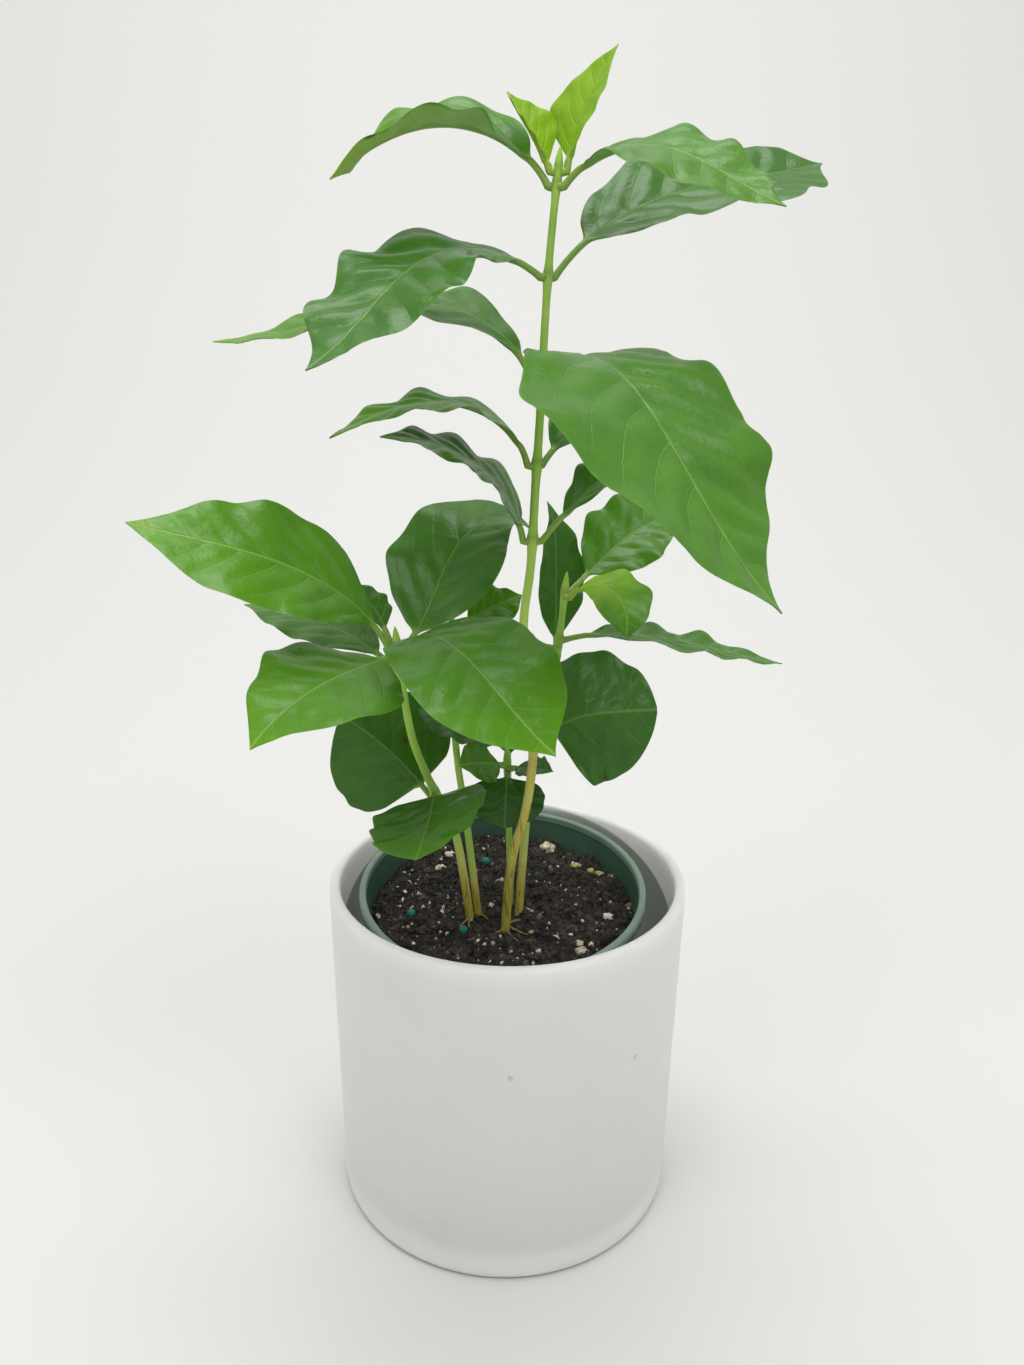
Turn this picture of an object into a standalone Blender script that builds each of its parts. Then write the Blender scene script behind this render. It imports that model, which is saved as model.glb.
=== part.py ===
# Potted coffee plant: five seedlings in a plastic nursery pot, standing in a white ceramic cover pot.
# The origin is the middle of the cover pot's underside, +Z is up and -Y is the side that is seen first.
# Sizes are written in millimetres and angles in degrees, and MM turns the sizes to metres.

import math
import random

import bmesh
import bpy
from mathutils import Matrix, Vector

MM = 0.001

# Clearance between two pieces, and from a leaf's foot to its stem
GAP = 0.3
LEAF_GAP = 0.5

# Cover pot
POT_HEIGHT = 130.0
POT_RADIUS = 67.5
POT_FOOT_RADIUS = 65.6
POT_INNER_RADIUS = 63.5
POT_FLOOR = 9.0
POT_FOOT_ROUNDING = 3.0
POT_FLOOR_BEVEL = 4.0
POT_SIDES = 56

# Nursery pot, which leans forward until its rim meets the cover pot
NURSERY_RIM_RADIUS = 53.4
NURSERY_RIM_INNER_RADIUS = 50.8
NURSERY_RIM_HEIGHT = 4.0
NURSERY_RIM_BEVEL = 0.5
NURSERY_BODY_RADIUS = 51.8
NURSERY_BOTTOM_RADIUS = 38.0
NURSERY_WALL = 1.0
NURSERY_LEAN = 6.9
NURSERY_RIM_MIDDLE = (-1.8, -9.9, 130.5)
NURSERY_SIDES = 48

# Soil, which lies square to the leaning pot: its level is its height over the origin
SOIL_LEVEL = 119.6
SOIL_BUMP = 0.7
SOIL_RINGS = 7
SOIL_SIDES = 48
GRIT_SEED = 7
GRIT_COUNT = 24
GRIT_RADIUS = (1.1, 2.0)
GRIT_REACH = 46.0
GRIT_SPACING = 5.0
BEAD_RADIUS = 1.7
BEAD_PLACES = ((-9, 20), (-36, -13), (-16, -22))
HOLE_DEPTH = 24.0

# The seedlings lean forward with their pot, about a point at the soil that sinks a little
PLANT_LEAN = 2.6
PLANT_PIVOT = (0, -15, 119)
PLANT_SHIFT = (0.3, -0.2, -2.2)

# Stems: points from the soil up before they lean, radius at the soil and at the top
STEM_ROOT = 18.0
STEM_STEP = 7.0
NODE_SWELL = 0.28
NODE_LENGTH = 3.5
STEMS = {
    "main": {
        "route": [(-1, -21, 119), (1, -21, 148), (6, -20, 170), (8, -19, 193), (6, -18, 215),
                  (4, -17, 236), (6, -16, 256), (7, -15, 280), (8, -14, 302), (9, -13, 330),
                  (10, -12, 350), (12, -11, 374)],
        "radius": (1.9, 0.9),
    },
    "left": {
        "route": [(-14, -14, 119), (-19, -17, 156), (-25, -20, 172), (-33, -24, 196), (-36, -28, 220),
                  (-37, -30, 233)],
        "radius": (1.6, 1.1),
    },
    "thin": {
        "route": [(-11, -12, 119), (-16, -8, 160), (-19, -6, 181), (-21, -3, 207), (-21, 0, 230)],
        "radius": (1.4, 1.0),
    },
    "right": {
        "route": [(4, -11, 119), (5, -8, 137), (8, 0, 175), (13, 4, 196), (17, 9, 220), (19, 12, 241)],
        "radius": (1.6, 1.0),
    },
    "short": {
        "route": [(1, -3, 119), (0, -3, 150), (-1, -2, 180)],
        "radius": (1.3, 1.0),
    },
}

# Leaves
BLADE_THICKNESS = 0.65
RIB_THICKNESS = 1.6
STALK_THICKNESS = 1.9
STALK_HALF_WIDTH = 1.0
TIP_HALF_WIDTH = 0.5
MARGIN_LAG = 1.2
COLUMNS = 4
BLADE_ROWS = 12
SMALL_BLADE_ROWS = 8
SMALL_LEAF = 50.0
STALK_ROWS = 2

# Outlines: how wide a blade is at each share of its length, from the stalk to the tip
OUTLINES = {
    "oval": [(0, 0.04), (0.08, 0.30), (0.2, 0.68), (0.34, 0.93), (0.47, 1), (0.62, 0.91), (0.76, 0.66),
             (0.88, 0.33), (0.95, 0.13), (1, 0)],
    "broad": [(0, 0.05), (0.08, 0.40), (0.2, 0.73), (0.35, 0.93), (0.5, 1), (0.65, 0.98), (0.78, 0.8),
              (0.88, 0.48), (0.95, 0.18), (1, 0)],
    "round": [(0, 0.1), (0.04, 0.5), (0.12, 0.8), (0.27, 0.97), (0.45, 1), (0.62, 0.95), (0.79, 0.78),
              (0.9, 0.52), (0.97, 0.25), (1, 0.05)],
}


def leaf(name, stem, height, length, width, **shape):
    """One leaf row. Heading, climb, roll and fold are one angle, or three: at the stalk, middle and tip."""
    row = {"name": name, "stem": stem, "height": height, "length": length, "width": width}
    plain = {"stalk": 8, "outline": "oval", "roll": (0, 0, 0), "fold": 6, "wave": 1.2, "waves": 4,
             "phase": 0, "ripple": 0.05}
    return {**plain, **row, **shape}


LEAVES = [
    leaf("main_1_left", "main", 369, 77, 36, heading=(-190, -150, -150), climb=(62, -7, -38),
         roll=(46, 8, -38), fold=(16, 14, 4)),
    leaf("main_1_right", "main", 369, 77, 32, stalk=6, heading=(-20, -42, -35), climb=(52, -17, -20),
         roll=(-12, -20, -25), fold=4, wave=1.5),
    leaf("main_2_left", "main", 344, 102, 39, stalk=7, heading=(-170, -122, -128), climb=(38, -25, -22),
         roll=(20, 10, 6), fold=5, wave=2),
    leaf("main_2_right", "main", 344, 108, 40, stalk=14, outline="broad", heading=(35, 25, 22),
         climb=(50, 15, 14), roll=(-25, -28, -28), fold=10, wave=1.6),
    leaf("main_3_left", "main", 312, 120, 38, heading=(155, 166, 182), climb=(73, -8, 1),
         roll=(15, 12, 10), fold=5, wave=2),
    leaf("main_3_right", "main", 312, 129, 60, stalk=7, outline="broad", heading=(-62, -60, -22),
         climb=(46, -36, -42), fold=6, wave=1.6, ripple=0.06),
    leaf("main_4_left", "main", 288, 73, 30, stalk=6, heading=(-173, -165, -158), climb=(78, 2, -26),
         roll=(8, 4, 4), fold=2),
    leaf("main_4_right", "main", 288, 62, 30, stalk=6, heading=(50, 30, 30), climb=(42, 22, -5),
         roll=(-20, -20, -20), fold=16, wave=1),
    leaf("main_5_left", "main", 264, 64, 30, stalk=4, outline="broad", heading=(-172, -154, -157),
         climb=(82, 34, 2), roll=(30, 18, 8), fold=2),
    leaf("main_5_right", "main", 264, 60, 22, stalk=10, heading=(5, 32, 25), climb=(52, 28, -15),
         roll=(-5, -5, 0), fold=12, wave=1),
    leaf("main_seed_right", "main", 195, 43, 46, stalk=5, outline="round", heading=(-20, -12, -8),
         climb=(60, 16, 8), roll=(-45, -62, -60), fold=-12, wave=0.8),
    leaf("main_seed_left", "main", 195, 38, 26, stalk=6, outline="round", heading=(180, 178, 176),
         climb=(25, 14, 14), roll=(10, 16, 16), fold=4),
    leaf("left_front_right", "left", 231, 84, 45, stalk=5, outline="broad", heading=(-52, -54, -44),
         climb=(50, -17, -20), roll=(-4, -10, -10), fold=5, wave=0.8, ripple=0.02),
    leaf("left_long", "left", 231, 91, 43, heading=(-170, -160, -178), climb=(66, 25, 16),
         roll=(25, 35, 30), fold=5, wave=0.8, ripple=0.03),
    leaf("left_low", "left", 223, 66, 30, heading=(140, 153, 157), climb=(30, 10, 0),
         roll=(10, 10, 0), fold=5, wave=1),
    leaf("left_front_left", "left", 229, 66, 46, stalk=5, heading=(-124, -121, -132), climb=(0, -4, -42),
         roll=(10, 12, 4), fold=4, wave=0.8, ripple=0.02),
    leaf("left_back", "left", 230, 78, 44, heading=(62, 52, 5), climb=(10, 47, -50),
         roll=(-10, -10, -10), fold=8, wave=0.8, ripple=0.03),
    leaf("left_small", "left", 229, 30, 14, heading=(130, 135, 140), climb=(60, 40, 20), fold=10),
    leaf("left_seed_back", "left", 173, 43, 47, stalk=5, outline="round", heading=(152, 162, 174),
         climb=(45, 38, 30), roll=(30, 55, 55), fold=-14, wave=0.8),
    leaf("left_seed_front", "left", 175, 38, 41, stalk=2, outline="round", heading=(-88, -95, -102),
         climb=(10, -8, -15), roll=(-15, -20, -20), fold=6, wave=1),
    leaf("thin_right", "thin", 230, 27, 19, stalk=4, heading=(25, 28, 30), climb=(20, 18, 10),
         roll=(-20, -30, -30), fold=10),
    leaf("right_tall", "right", 215, 60, 22, stalk=8, heading=(90, 100, 150), climb=(20, 82, 60), fold=10),
    leaf("right_back", "right", 239, 57, 32, stalk=10, heading=(46, 30, 28), climb=(25, 32, -10),
         roll=(-30, -35, -35), fold=10, wave=1),
    leaf("right_hook", "right", 238, 37, 26, stalk=4, heading=(-40, -35, -110), climb=(58, -24, -92),
         roll=(0, -10, 0), fold=8, wave=0.6),
    leaf("right_long", "right", 222, 90, 27, heading=(20, 12, 12), climb=(10, -14, -12),
         roll=(-3, -3, -3), wave=1.6),
    leaf("right_low", "right", 219, 28, 20, stalk=4, heading=(160, 160, 160), climb=(10, -15, -25), fold=10),
    leaf("short_left", "short", 178, 19, 16, stalk=2, heading=(-150, -146, -140), climb=(24, 12, 5),
         roll=(20, 35, 35), fold=8, wave=0.6),
    leaf("short_seed", "short", 175, 21, 28, stalk=2, outline="round", heading=(-92, -94, -96),
         climb=(-10, -58, -78), fold=-5, wave=0.6),
    leaf("short_back", "short", 179, 20, 16, stalk=2, heading=(85, 90, 90), climb=(40, 35, 20), fold=15,
         wave=0.5),
    leaf("short_right", "short", 177, 21, 12, stalk=3, heading=(-50, -44, -34), climb=(25, 15, 5),
         roll=(-20, -20, -20), fold=10, wave=0.5),
    leaf("top_right", "main", 373, 36, 17, stalk=3, heading=(0, 8, -5), climb=(84, 66, 56),
         roll=(-20, -30, -30), fold=14, wave=0.3, ripple=0),
    leaf("top_left", "main", 373, 24, 14, stalk=2, heading=(190, 185, 180), climb=(74, 54, 58),
         roll=(30, 35, 30), fold=25, wave=0.3, ripple=0),
]


def clear_scene():
    for thing in list(bpy.data.objects):
        bpy.data.objects.remove(thing)


def material(name, colour, roughness):
    made = bpy.data.materials.new(name)
    made.use_nodes = True
    shader = made.node_tree.nodes["Principled BSDF"]
    shader.inputs["Base Color"].default_value = (*colour, 1.0)
    shader.inputs["Roughness"].default_value = roughness
    shader.inputs["Metallic"].default_value = 0.0
    return made


def add_object(name, mesh, collection, look=None):
    thing = bpy.data.objects.new(name, mesh)
    collection.objects.link(thing)
    if look:
        mesh.materials.append(look)
    return thing


def turned(name, profile, sides, collection, look):
    """A turned shape from (radius, height) points that run down the outside and up the inside."""
    mesh = bpy.data.meshes.new(name)
    points = [(radius * MM, 0.0, height * MM) for radius, height in profile]
    mesh.from_pydata(points, [(i, i + 1) for i in range(len(points) - 1)], [])
    thing = add_object(name, mesh, collection, look)
    screw = thing.modifiers.new("turn", "SCREW")
    screw.axis = "Z"
    screw.angle = math.tau
    screw.steps = sides
    screw.render_steps = sides
    screw.use_merge_vertices = True
    screw.merge_threshold = 0.00001
    screw.use_smooth_shade = True
    return thing


def arc(middle, radius, start, end, steps):
    """Points on an arc in the (radius, height) plane, with the angles measured from +radius."""
    turn = math.radians(end - start)
    angles = [math.radians(start) + turn * i / steps for i in range(steps + 1)]
    return [(middle[0] + radius * math.cos(a), middle[1] + radius * math.sin(a)) for a in angles]


def cover_pot(collection):
    """White ceramic pot: one thrown wall with a full-round lip, a flat floor and a softened foot."""
    lip = (POT_RADIUS - POT_INNER_RADIUS) / 2
    foot = POT_FOOT_RADIUS - POT_FOOT_ROUNDING
    profile = [(0, 0)] + arc((foot, POT_FOOT_ROUNDING), POT_FOOT_ROUNDING, -90, 0, 3)
    profile += arc((POT_RADIUS - lip, POT_HEIGHT - lip), lip, 0, 180, 6)
    profile += [
        (POT_INNER_RADIUS, POT_FLOOR + POT_FLOOR_BEVEL),
        (POT_INNER_RADIUS - POT_FLOOR_BEVEL, POT_FLOOR),
        (0, POT_FLOOR),
    ]
    look = material("white_glaze", (0.80, 0.80, 0.78), 0.35)
    return turned("ceramic_cover_pot", profile[::-1], POT_SIDES, collection, look)


def nursery_frame():
    """Places the nursery pot: it stands on the cover pot's floor at its front edge and leans forward."""
    lean = math.radians(NURSERY_LEAN)
    rim = Vector(NURSERY_RIM_MIDDLE)
    lowest = POT_FLOOR + GAP
    height = (rim.z - lowest - NURSERY_BOTTOM_RADIUS * math.sin(lean)) / math.cos(lean)
    turn = Matrix.Rotation(lean, 4, "X")
    foot = rim - turn.to_3x3() @ Vector((0, 0, height))
    return height, Matrix.Translation(foot) @ turn


def nursery_wall_radius(height, full_height):
    """The inner radius of the tapered wall at a height above the nursery pot's underside."""
    share = min(max(height / full_height, 0), 1)
    outer = NURSERY_BOTTOM_RADIUS + (NURSERY_BODY_RADIUS - NURSERY_BOTTOM_RADIUS) * share
    return outer - NURSERY_WALL


def nursery_pot(collection):
    """Thin dark green plastic pot with a thicker band round its rim."""
    height, frame = nursery_frame()
    band = height - NURSERY_RIM_HEIGHT
    profile = [
        (0, 0),
        (NURSERY_BOTTOM_RADIUS, 0),
        (NURSERY_BODY_RADIUS, band),
        (NURSERY_RIM_RADIUS, band),
        (NURSERY_RIM_RADIUS, height - NURSERY_RIM_BEVEL),
        (NURSERY_RIM_RADIUS - NURSERY_RIM_BEVEL, height),
        (NURSERY_RIM_INNER_RADIUS + NURSERY_RIM_BEVEL, height),
        (NURSERY_RIM_INNER_RADIUS, height - NURSERY_RIM_BEVEL),
        (nursery_wall_radius(band, height), band),
        (nursery_wall_radius(NURSERY_WALL, height), NURSERY_WALL),
        (0, NURSERY_WALL),
    ]
    look = material("green_plastic", (0.03, 0.10, 0.07), 0.5)
    pot = turned("nursery_pot", profile[::-1], NURSERY_SIDES, collection, look)
    pot.matrix_world = Matrix.Translation(frame.translation * MM) @ frame.to_3x3().to_4x4()
    return pot


def plant_frame():
    """Leans the seedlings forward with their pot."""
    pivot = Vector(PLANT_PIVOT)
    turn = Matrix.Rotation(math.radians(PLANT_LEAN), 4, "X")
    return Matrix.Translation(pivot + Vector(PLANT_SHIFT)) @ turn @ Matrix.Translation(-pivot)


def soil_plane(y):
    """The soil's mean level, which slopes with the nursery pot."""
    return SOIL_LEVEL + y * math.tan(math.radians(NURSERY_LEAN))


def soil_height(x, y):
    """The soil's surface: low waves in three directions, which stand for its clods."""
    waves = math.sin(0.30 * x + 0.10 * y) + math.sin(0.25 * y - 0.17 * x + 1) + math.sin(0.13 * x + 0.38 * y)
    return soil_plane(y) + SOIL_BUMP * waves / 2


def soil_ring(share, height, frame):
    """One ring of the soil's top, as far out as share of the nursery pot's inner radius."""
    lean = math.radians(NURSERY_LEAN)
    ring = []
    for i in range(SOIL_SIDES):
        angle = math.tau * i / SOIL_SIDES
        up = SOIL_LEVEL - frame.translation.z
        for _ in range(6):
            radius = share * (nursery_wall_radius(up, height) - GAP)
            x = radius * math.cos(angle)
            y = radius * math.sin(angle)
            place = frame @ Vector((x, y, up))
            level = soil_height(place.x, place.y) if share < 1 else soil_plane(place.y)
            up = (level - frame.translation.z - y * math.sin(lean)) / math.cos(lean)
        ring.append(frame @ Vector((x, y, up)))
    return ring


def soil_rings():
    """Rings from the middle of the underside, up the wall and back to the middle of the top."""
    height, frame = nursery_frame()
    low = NURSERY_WALL + GAP
    radius = nursery_wall_radius(low, height) - GAP
    angles = [math.tau * i / SOIL_SIDES for i in range(SOIL_SIDES)]
    foot = [frame @ Vector((radius * math.cos(a), radius * math.sin(a), low)) for a in angles]
    tops = [soil_ring((SOIL_RINGS - i) / SOIL_RINGS, height, frame) for i in range(SOIL_RINGS)]
    return [foot] + tops


def loft(rings):
    """A closed body through rings of equal count, with a fan over the first ring and over the last."""
    body = bmesh.new()
    rows = [[body.verts.new(point * MM) for point in ring] for ring in rings]
    count = len(rows[0])
    for low, high in zip(rows, rows[1:]):
        for i in range(count):
            j = (i + 1) % count
            body.faces.new((low[i], low[j], high[j]))
            body.faces.new((low[i], high[j], high[i]))
    for row in (rows[0], rows[-1]):
        middle = body.verts.new(sum((v.co for v in row), Vector()) / count)
        for i in range(count):
            body.faces.new((row[i], row[(i + 1) % count], middle))
    bmesh.ops.recalc_face_normals(body, faces=body.faces)
    return body


def mesh_from(body, name):
    mesh = bpy.data.meshes.new(name)
    body.to_mesh(mesh)
    body.free()
    return mesh


def boolean(thing, others, operation):
    """Joins others to thing or cuts them from it, applies the result and removes them."""
    cutters = bpy.data.collections.new("cutters")
    for other in others:
        cutters.objects.link(other)
    cut = thing.modifiers.new(operation.lower(), "BOOLEAN")
    cut.operand_type = "COLLECTION"
    cut.collection = cutters
    cut.operation = operation
    cut.solver = "EXACT"
    graph = bpy.context.evaluated_depsgraph_get()
    made = bpy.data.meshes.new_from_object(thing.evaluated_get(graph))
    thing.modifiers.clear()
    thing.data = made
    for other in list(cutters.objects):
        bpy.data.objects.remove(other)
    bpy.data.collections.remove(cutters)


def ball(x, y, radius, squash=1.0, turn=0.0):
    """A faceted ball half sunk in the soil's surface."""
    body = bmesh.new()
    bmesh.ops.create_icosphere(body, subdivisions=1, radius=radius * MM)
    shape = Matrix.Rotation(turn, 4, "Z") @ Matrix.Diagonal((1, squash, squash, 1))
    place = Vector((x, y, soil_height(x, y))) * MM
    bmesh.ops.transform(body, matrix=Matrix.Translation(place) @ shape, verts=body.verts)
    return bpy.data.objects.new("grit", mesh_from(body, "grit"))


def grit():
    """White perlite by a seeded rule, clear of the stems, and round feed beads at their own places."""
    draw = random.Random(GRIT_SEED)
    lumps = []
    while len(lumps) < GRIT_COUNT:
        angle = draw.uniform(0, math.tau)
        reach = GRIT_REACH * math.sqrt(draw.random())
        x = NURSERY_RIM_MIDDLE[0] + reach * math.cos(angle)
        y = NURSERY_RIM_MIDDLE[1] + reach * math.sin(angle)
        radius = draw.uniform(*GRIT_RADIUS)
        crowd = [stem["route"][0] for stem in STEMS.values()] + list(BEAD_PLACES)
        crowd += [(lump["x"], lump["y"]) for lump in lumps]
        if all(math.hypot(x - p[0], y - p[1]) > GRIT_SPACING for p in crowd):
            lumps.append({"x": x, "y": y, "radius": radius, "squash": draw.uniform(0.7, 1), "turn": angle})
    found = [ball(radius=g.pop("radius"), **g) for g in lumps]
    return found + [ball(x, y, BEAD_RADIUS) for x, y in BEAD_PLACES]


def stem_holes():
    """Plain round holes, one for the buried end of each stem."""
    holes = []
    for stem in STEMS.values():
        foot = plant_frame() @ Vector(stem["route"][0])
        body = bmesh.new()
        radius = stem["radius"][0] + 2 * GAP
        bmesh.ops.create_cone(body, cap_ends=True, segments=12, radius1=radius * MM, radius2=radius * MM,
                              depth=2 * HOLE_DEPTH * MM)
        bmesh.ops.translate(body, verts=body.verts, vec=foot * MM)
        holes.append(bpy.data.objects.new("hole", mesh_from(body, "hole")))
    return holes


def soil(collection):
    """The root ball with its bumpy top, grit and beads fused on, and a hole for each stem."""
    look = material("potting_mix", (0.02, 0.014, 0.01), 0.95)
    body = add_object("potting_soil", mesh_from(loft(soil_rings()), "potting_soil"), collection, look)
    boolean(body, grit(), "UNION")
    boolean(body, stem_holes(), "DIFFERENCE")
    return body


def smooth_route(points, step):
    """Points about a step apart on a Catmull-Rom curve through the given ones."""
    path = [Vector(p) for p in points]
    path = [2 * path[0] - path[1]] + path + [2 * path[-1] - path[-2]]
    out = []
    for a, b, c, d in zip(path, path[1:], path[2:], path[3:]):
        pieces = max(1, round((c - b).length / step))
        for i in range(pieces):
            t = i / pieces
            out.append(0.5 * (2 * b + (c - a) * t + (2 * a - 5 * b + 4 * c - d) * t * t
                              + (3 * b - 3 * c + d - a) * t ** 3))
    return out + [path[-2]]


def stem_radius(stem, height):
    """The radius at a height, with a swelling at each leaf node."""
    low, high = stem["radius"]
    foot = stem["route"][0][2]
    top = stem["route"][-1][2]
    share = min(max((height - foot) / (top - foot), 0), 1)
    radius = low + (high - low) * share
    swell = max((math.exp(-((height - node) / NODE_LENGTH) ** 2) for node in stem["nodes"]), default=0)
    return radius * (1 + NODE_SWELL * swell)


def point_at_height(stem, height):
    """The point of the stem's middle line that is nearest to a height."""
    path = smooth_route(stem["route"], 1.0)
    return min(path, key=lambda point: abs(point.z - height))


def stems(collection):
    """Each seedling's stem is one tapered rod, whose lower end stands in its hole in the soil."""
    look = material("green_bark", (0.30, 0.34, 0.07), 0.5)
    for name, stem in STEMS.items():
        stem["nodes"] = sorted({row["height"] for row in LEAVES if row["stem"] == name})
        path = smooth_route(stem["route"], STEM_STEP)
        radii = [stem_radius(stem, path[0].z)] + [stem_radius(stem, place.z) for place in path]
        path = [plant_frame() @ place for place in path]
        path = [path[0] - Vector((0, 0, STEM_ROOT))] + path
        curve = bpy.data.curves.new("stem_" + name, "CURVE")
        curve.dimensions = "3D"
        curve.bevel_depth = MM
        curve.bevel_resolution = 2
        curve.use_fill_caps = True
        spline = curve.splines.new("POLY")
        spline.points.add(len(path) - 1)
        for point, place, radius in zip(spline.points, path, radii):
            point.co = (*(place * MM), 1.0)
            point.radius = radius
        add_object("stem_" + name, curve, collection, look)


def through(three, t):
    """The smooth run of a value from the stalk, through the middle, to the tip."""
    if not isinstance(three, tuple):
        return three
    start, middle, end = three
    return start * (1 - t) * (1 - 2 * t) + 4 * middle * t * (1 - t) + end * t * (2 * t - 1)


def direction(row, t):
    """The way the midrib points at a share of its length."""
    heading = math.radians(through(row["heading"], t))
    climb = math.radians(through(row["climb"], t))
    flat = math.cos(climb)
    return Vector((math.cos(heading) * flat, math.sin(heading) * flat, math.sin(climb)))


def midrib(row, steps=60):
    """Points along the midrib, which starts beside its stem and then turns as heading and climb say."""
    stem = STEMS[row["stem"]]
    heading = math.radians(through(row["heading"], 0))
    steepness = math.sin(math.radians(through(row["climb"], 0)))
    clear = stem_radius(stem, row["height"]) + abs(steepness) * STALK_THICKNESS / 2 + LEAF_GAP
    outward = Vector((math.cos(heading), math.sin(heading), 0))
    path = [point_at_height(stem, row["height"]) + outward * clear]
    for i in range(steps):
        path.append(path[-1] + direction(row, (i + 0.5) / steps) * row["length"] / steps)
    return path


def outline_width(name, share):
    """The share of the full width at this share of the blade, on straight lines between the points."""
    points = OUTLINES[name]
    for (x0, w0), (x1, w1) in zip(points, points[1:]):
        if share <= x1:
            return w0 + (w1 - w0) * (share - x0) / (x1 - x0)
    return points[-1][1]


def leaf_point(row, path, t, u):
    """A point of the blade: t runs from the stem to the tip, and u from one margin to the other."""
    place = t * (len(path) - 1)
    i = min(int(place), len(path) - 2)
    spot = path[i].lerp(path[i + 1], place - i)
    along = direction(row, t)
    heading = math.radians(through(row["heading"], t))
    level = Vector((math.sin(heading), -math.cos(heading), 0))
    upward = level.cross(along)
    roll = math.radians(through(row["roll"], t))
    side = level * math.cos(roll) + upward * math.sin(roll)
    face = upward * math.cos(roll) - level * math.sin(roll)
    stalk = row["stalk"] / row["length"]
    share = (t - stalk) / (1 - stalk)
    if share <= 0:
        return spot + side * STALK_HALF_WIDTH * u
    beat = math.tau * row["waves"] * share + row["phase"] + math.copysign(MARGIN_LAG, u)
    least = TIP_HALF_WIDTH if share > 0.5 else STALK_HALF_WIDTH
    half = max(row["width"] / 2 * outline_width(row["outline"], share), least)
    half *= 1 + row["ripple"] * math.sin(beat) * math.sin(math.pi * share)
    fold = math.radians(through(row["fold"], t))
    wave = row["wave"] * math.sin(math.pi * share) * abs(u) ** 1.5 * math.sin(beat)
    return spot + side * half * u * math.cos(fold) + face * (half * abs(u) * math.sin(fold) + wave)


def leaf_thickness(row, t, u):
    """The stalk is thickest, the midrib thins towards the tip and the blade has one thickness."""
    stalk = row["stalk"] / row["length"]
    share = (t - stalk) / (1 - stalk)
    if share <= 0:
        return STALK_THICKNESS
    if u == 0:
        return RIB_THICKNESS + (BLADE_THICKNESS - RIB_THICKNESS) * share
    return BLADE_THICKNESS


def leaf_object(row, collection, look):
    """Stalk, midrib and waved blade as one thin shell: a grid bent to shape, then given its thickness."""
    blade_rows = BLADE_ROWS if row["length"] > SMALL_LEAF else SMALL_BLADE_ROWS
    rows = STALK_ROWS + blade_rows
    stalk = row["stalk"] / row["length"]
    path = midrib(row)
    body = bmesh.new()
    bmesh.ops.create_grid(body, x_segments=rows, y_segments=COLUMNS, size=0.5)
    thickness = []
    for corner in body.verts:
        step = round((corner.co.x + 0.5) * rows)
        u = round(corner.co.y * COLUMNS) / COLUMNS * 2
        if step <= STALK_ROWS:
            t = stalk * step / STALK_ROWS
        else:
            t = stalk + (1 - stalk) * (step - STALK_ROWS) / blade_rows
        corner.co = plant_frame() @ leaf_point(row, path, t, u) * MM
        thickness.append(leaf_thickness(row, t, u))
    bmesh.ops.triangulate(body, faces=body.faces)
    thing = add_object("leaf_" + row["name"], mesh_from(body, "leaf_" + row["name"]), collection, look)
    group = thing.vertex_groups.new(name="thickness")
    for i, value in enumerate(thickness):
        group.add([i], value / STALK_THICKNESS, "REPLACE")
    shell = thing.modifiers.new("thickness", "SOLIDIFY")
    shell.thickness = STALK_THICKNESS * MM
    shell.offset = 0
    shell.vertex_group = "thickness"
    return thing


def main():
    """Builds every piece into one collection."""
    clear_scene()
    plant = bpy.data.collections.new("potted_coffee_plant")
    bpy.context.scene.collection.children.link(plant)
    cover_pot(plant)
    nursery_pot(plant)
    soil(plant)
    stems(plant)
    green = material("coffee_leaf", (0.06, 0.20, 0.03), 0.35)
    for row in LEAVES:
        leaf_object(row, plant, green)


main()
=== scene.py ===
# Potted coffee plant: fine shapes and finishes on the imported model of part.py.
# Sizes are written in millimetres and angles in degrees, and MM turns the sizes to metres.
# The origin is the middle of the cover pot's underside, +Z is up and -Y is the side that is seen first.

import math

import bpy
import numpy as np
from mathutils import Matrix, Vector, noise


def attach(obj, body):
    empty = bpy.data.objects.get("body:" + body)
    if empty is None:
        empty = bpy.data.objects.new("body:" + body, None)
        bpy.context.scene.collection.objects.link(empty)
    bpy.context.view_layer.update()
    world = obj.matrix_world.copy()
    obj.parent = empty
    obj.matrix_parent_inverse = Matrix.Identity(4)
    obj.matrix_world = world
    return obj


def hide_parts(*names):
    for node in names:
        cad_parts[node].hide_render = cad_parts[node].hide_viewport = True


MM = 0.001
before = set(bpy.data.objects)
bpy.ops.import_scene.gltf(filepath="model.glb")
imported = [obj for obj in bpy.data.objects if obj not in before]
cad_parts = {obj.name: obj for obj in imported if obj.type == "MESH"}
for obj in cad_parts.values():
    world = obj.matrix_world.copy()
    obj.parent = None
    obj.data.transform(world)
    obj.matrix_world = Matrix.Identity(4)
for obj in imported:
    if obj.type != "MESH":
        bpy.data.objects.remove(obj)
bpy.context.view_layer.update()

# The view: a phone camera held a forearm's length in front of the pot, a little above its rim and
# looking down at it, with a white paper sweep below and behind.
CAMERA_PLACE = (0.0, -357.9, 318.0)
CAMERA_PITCH = 17.36
CAMERA_YAW = 0.11
CAMERA_ROLL = 0.74
SENSOR = 36.0
FOCAL_LENGTH = 27.3

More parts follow.
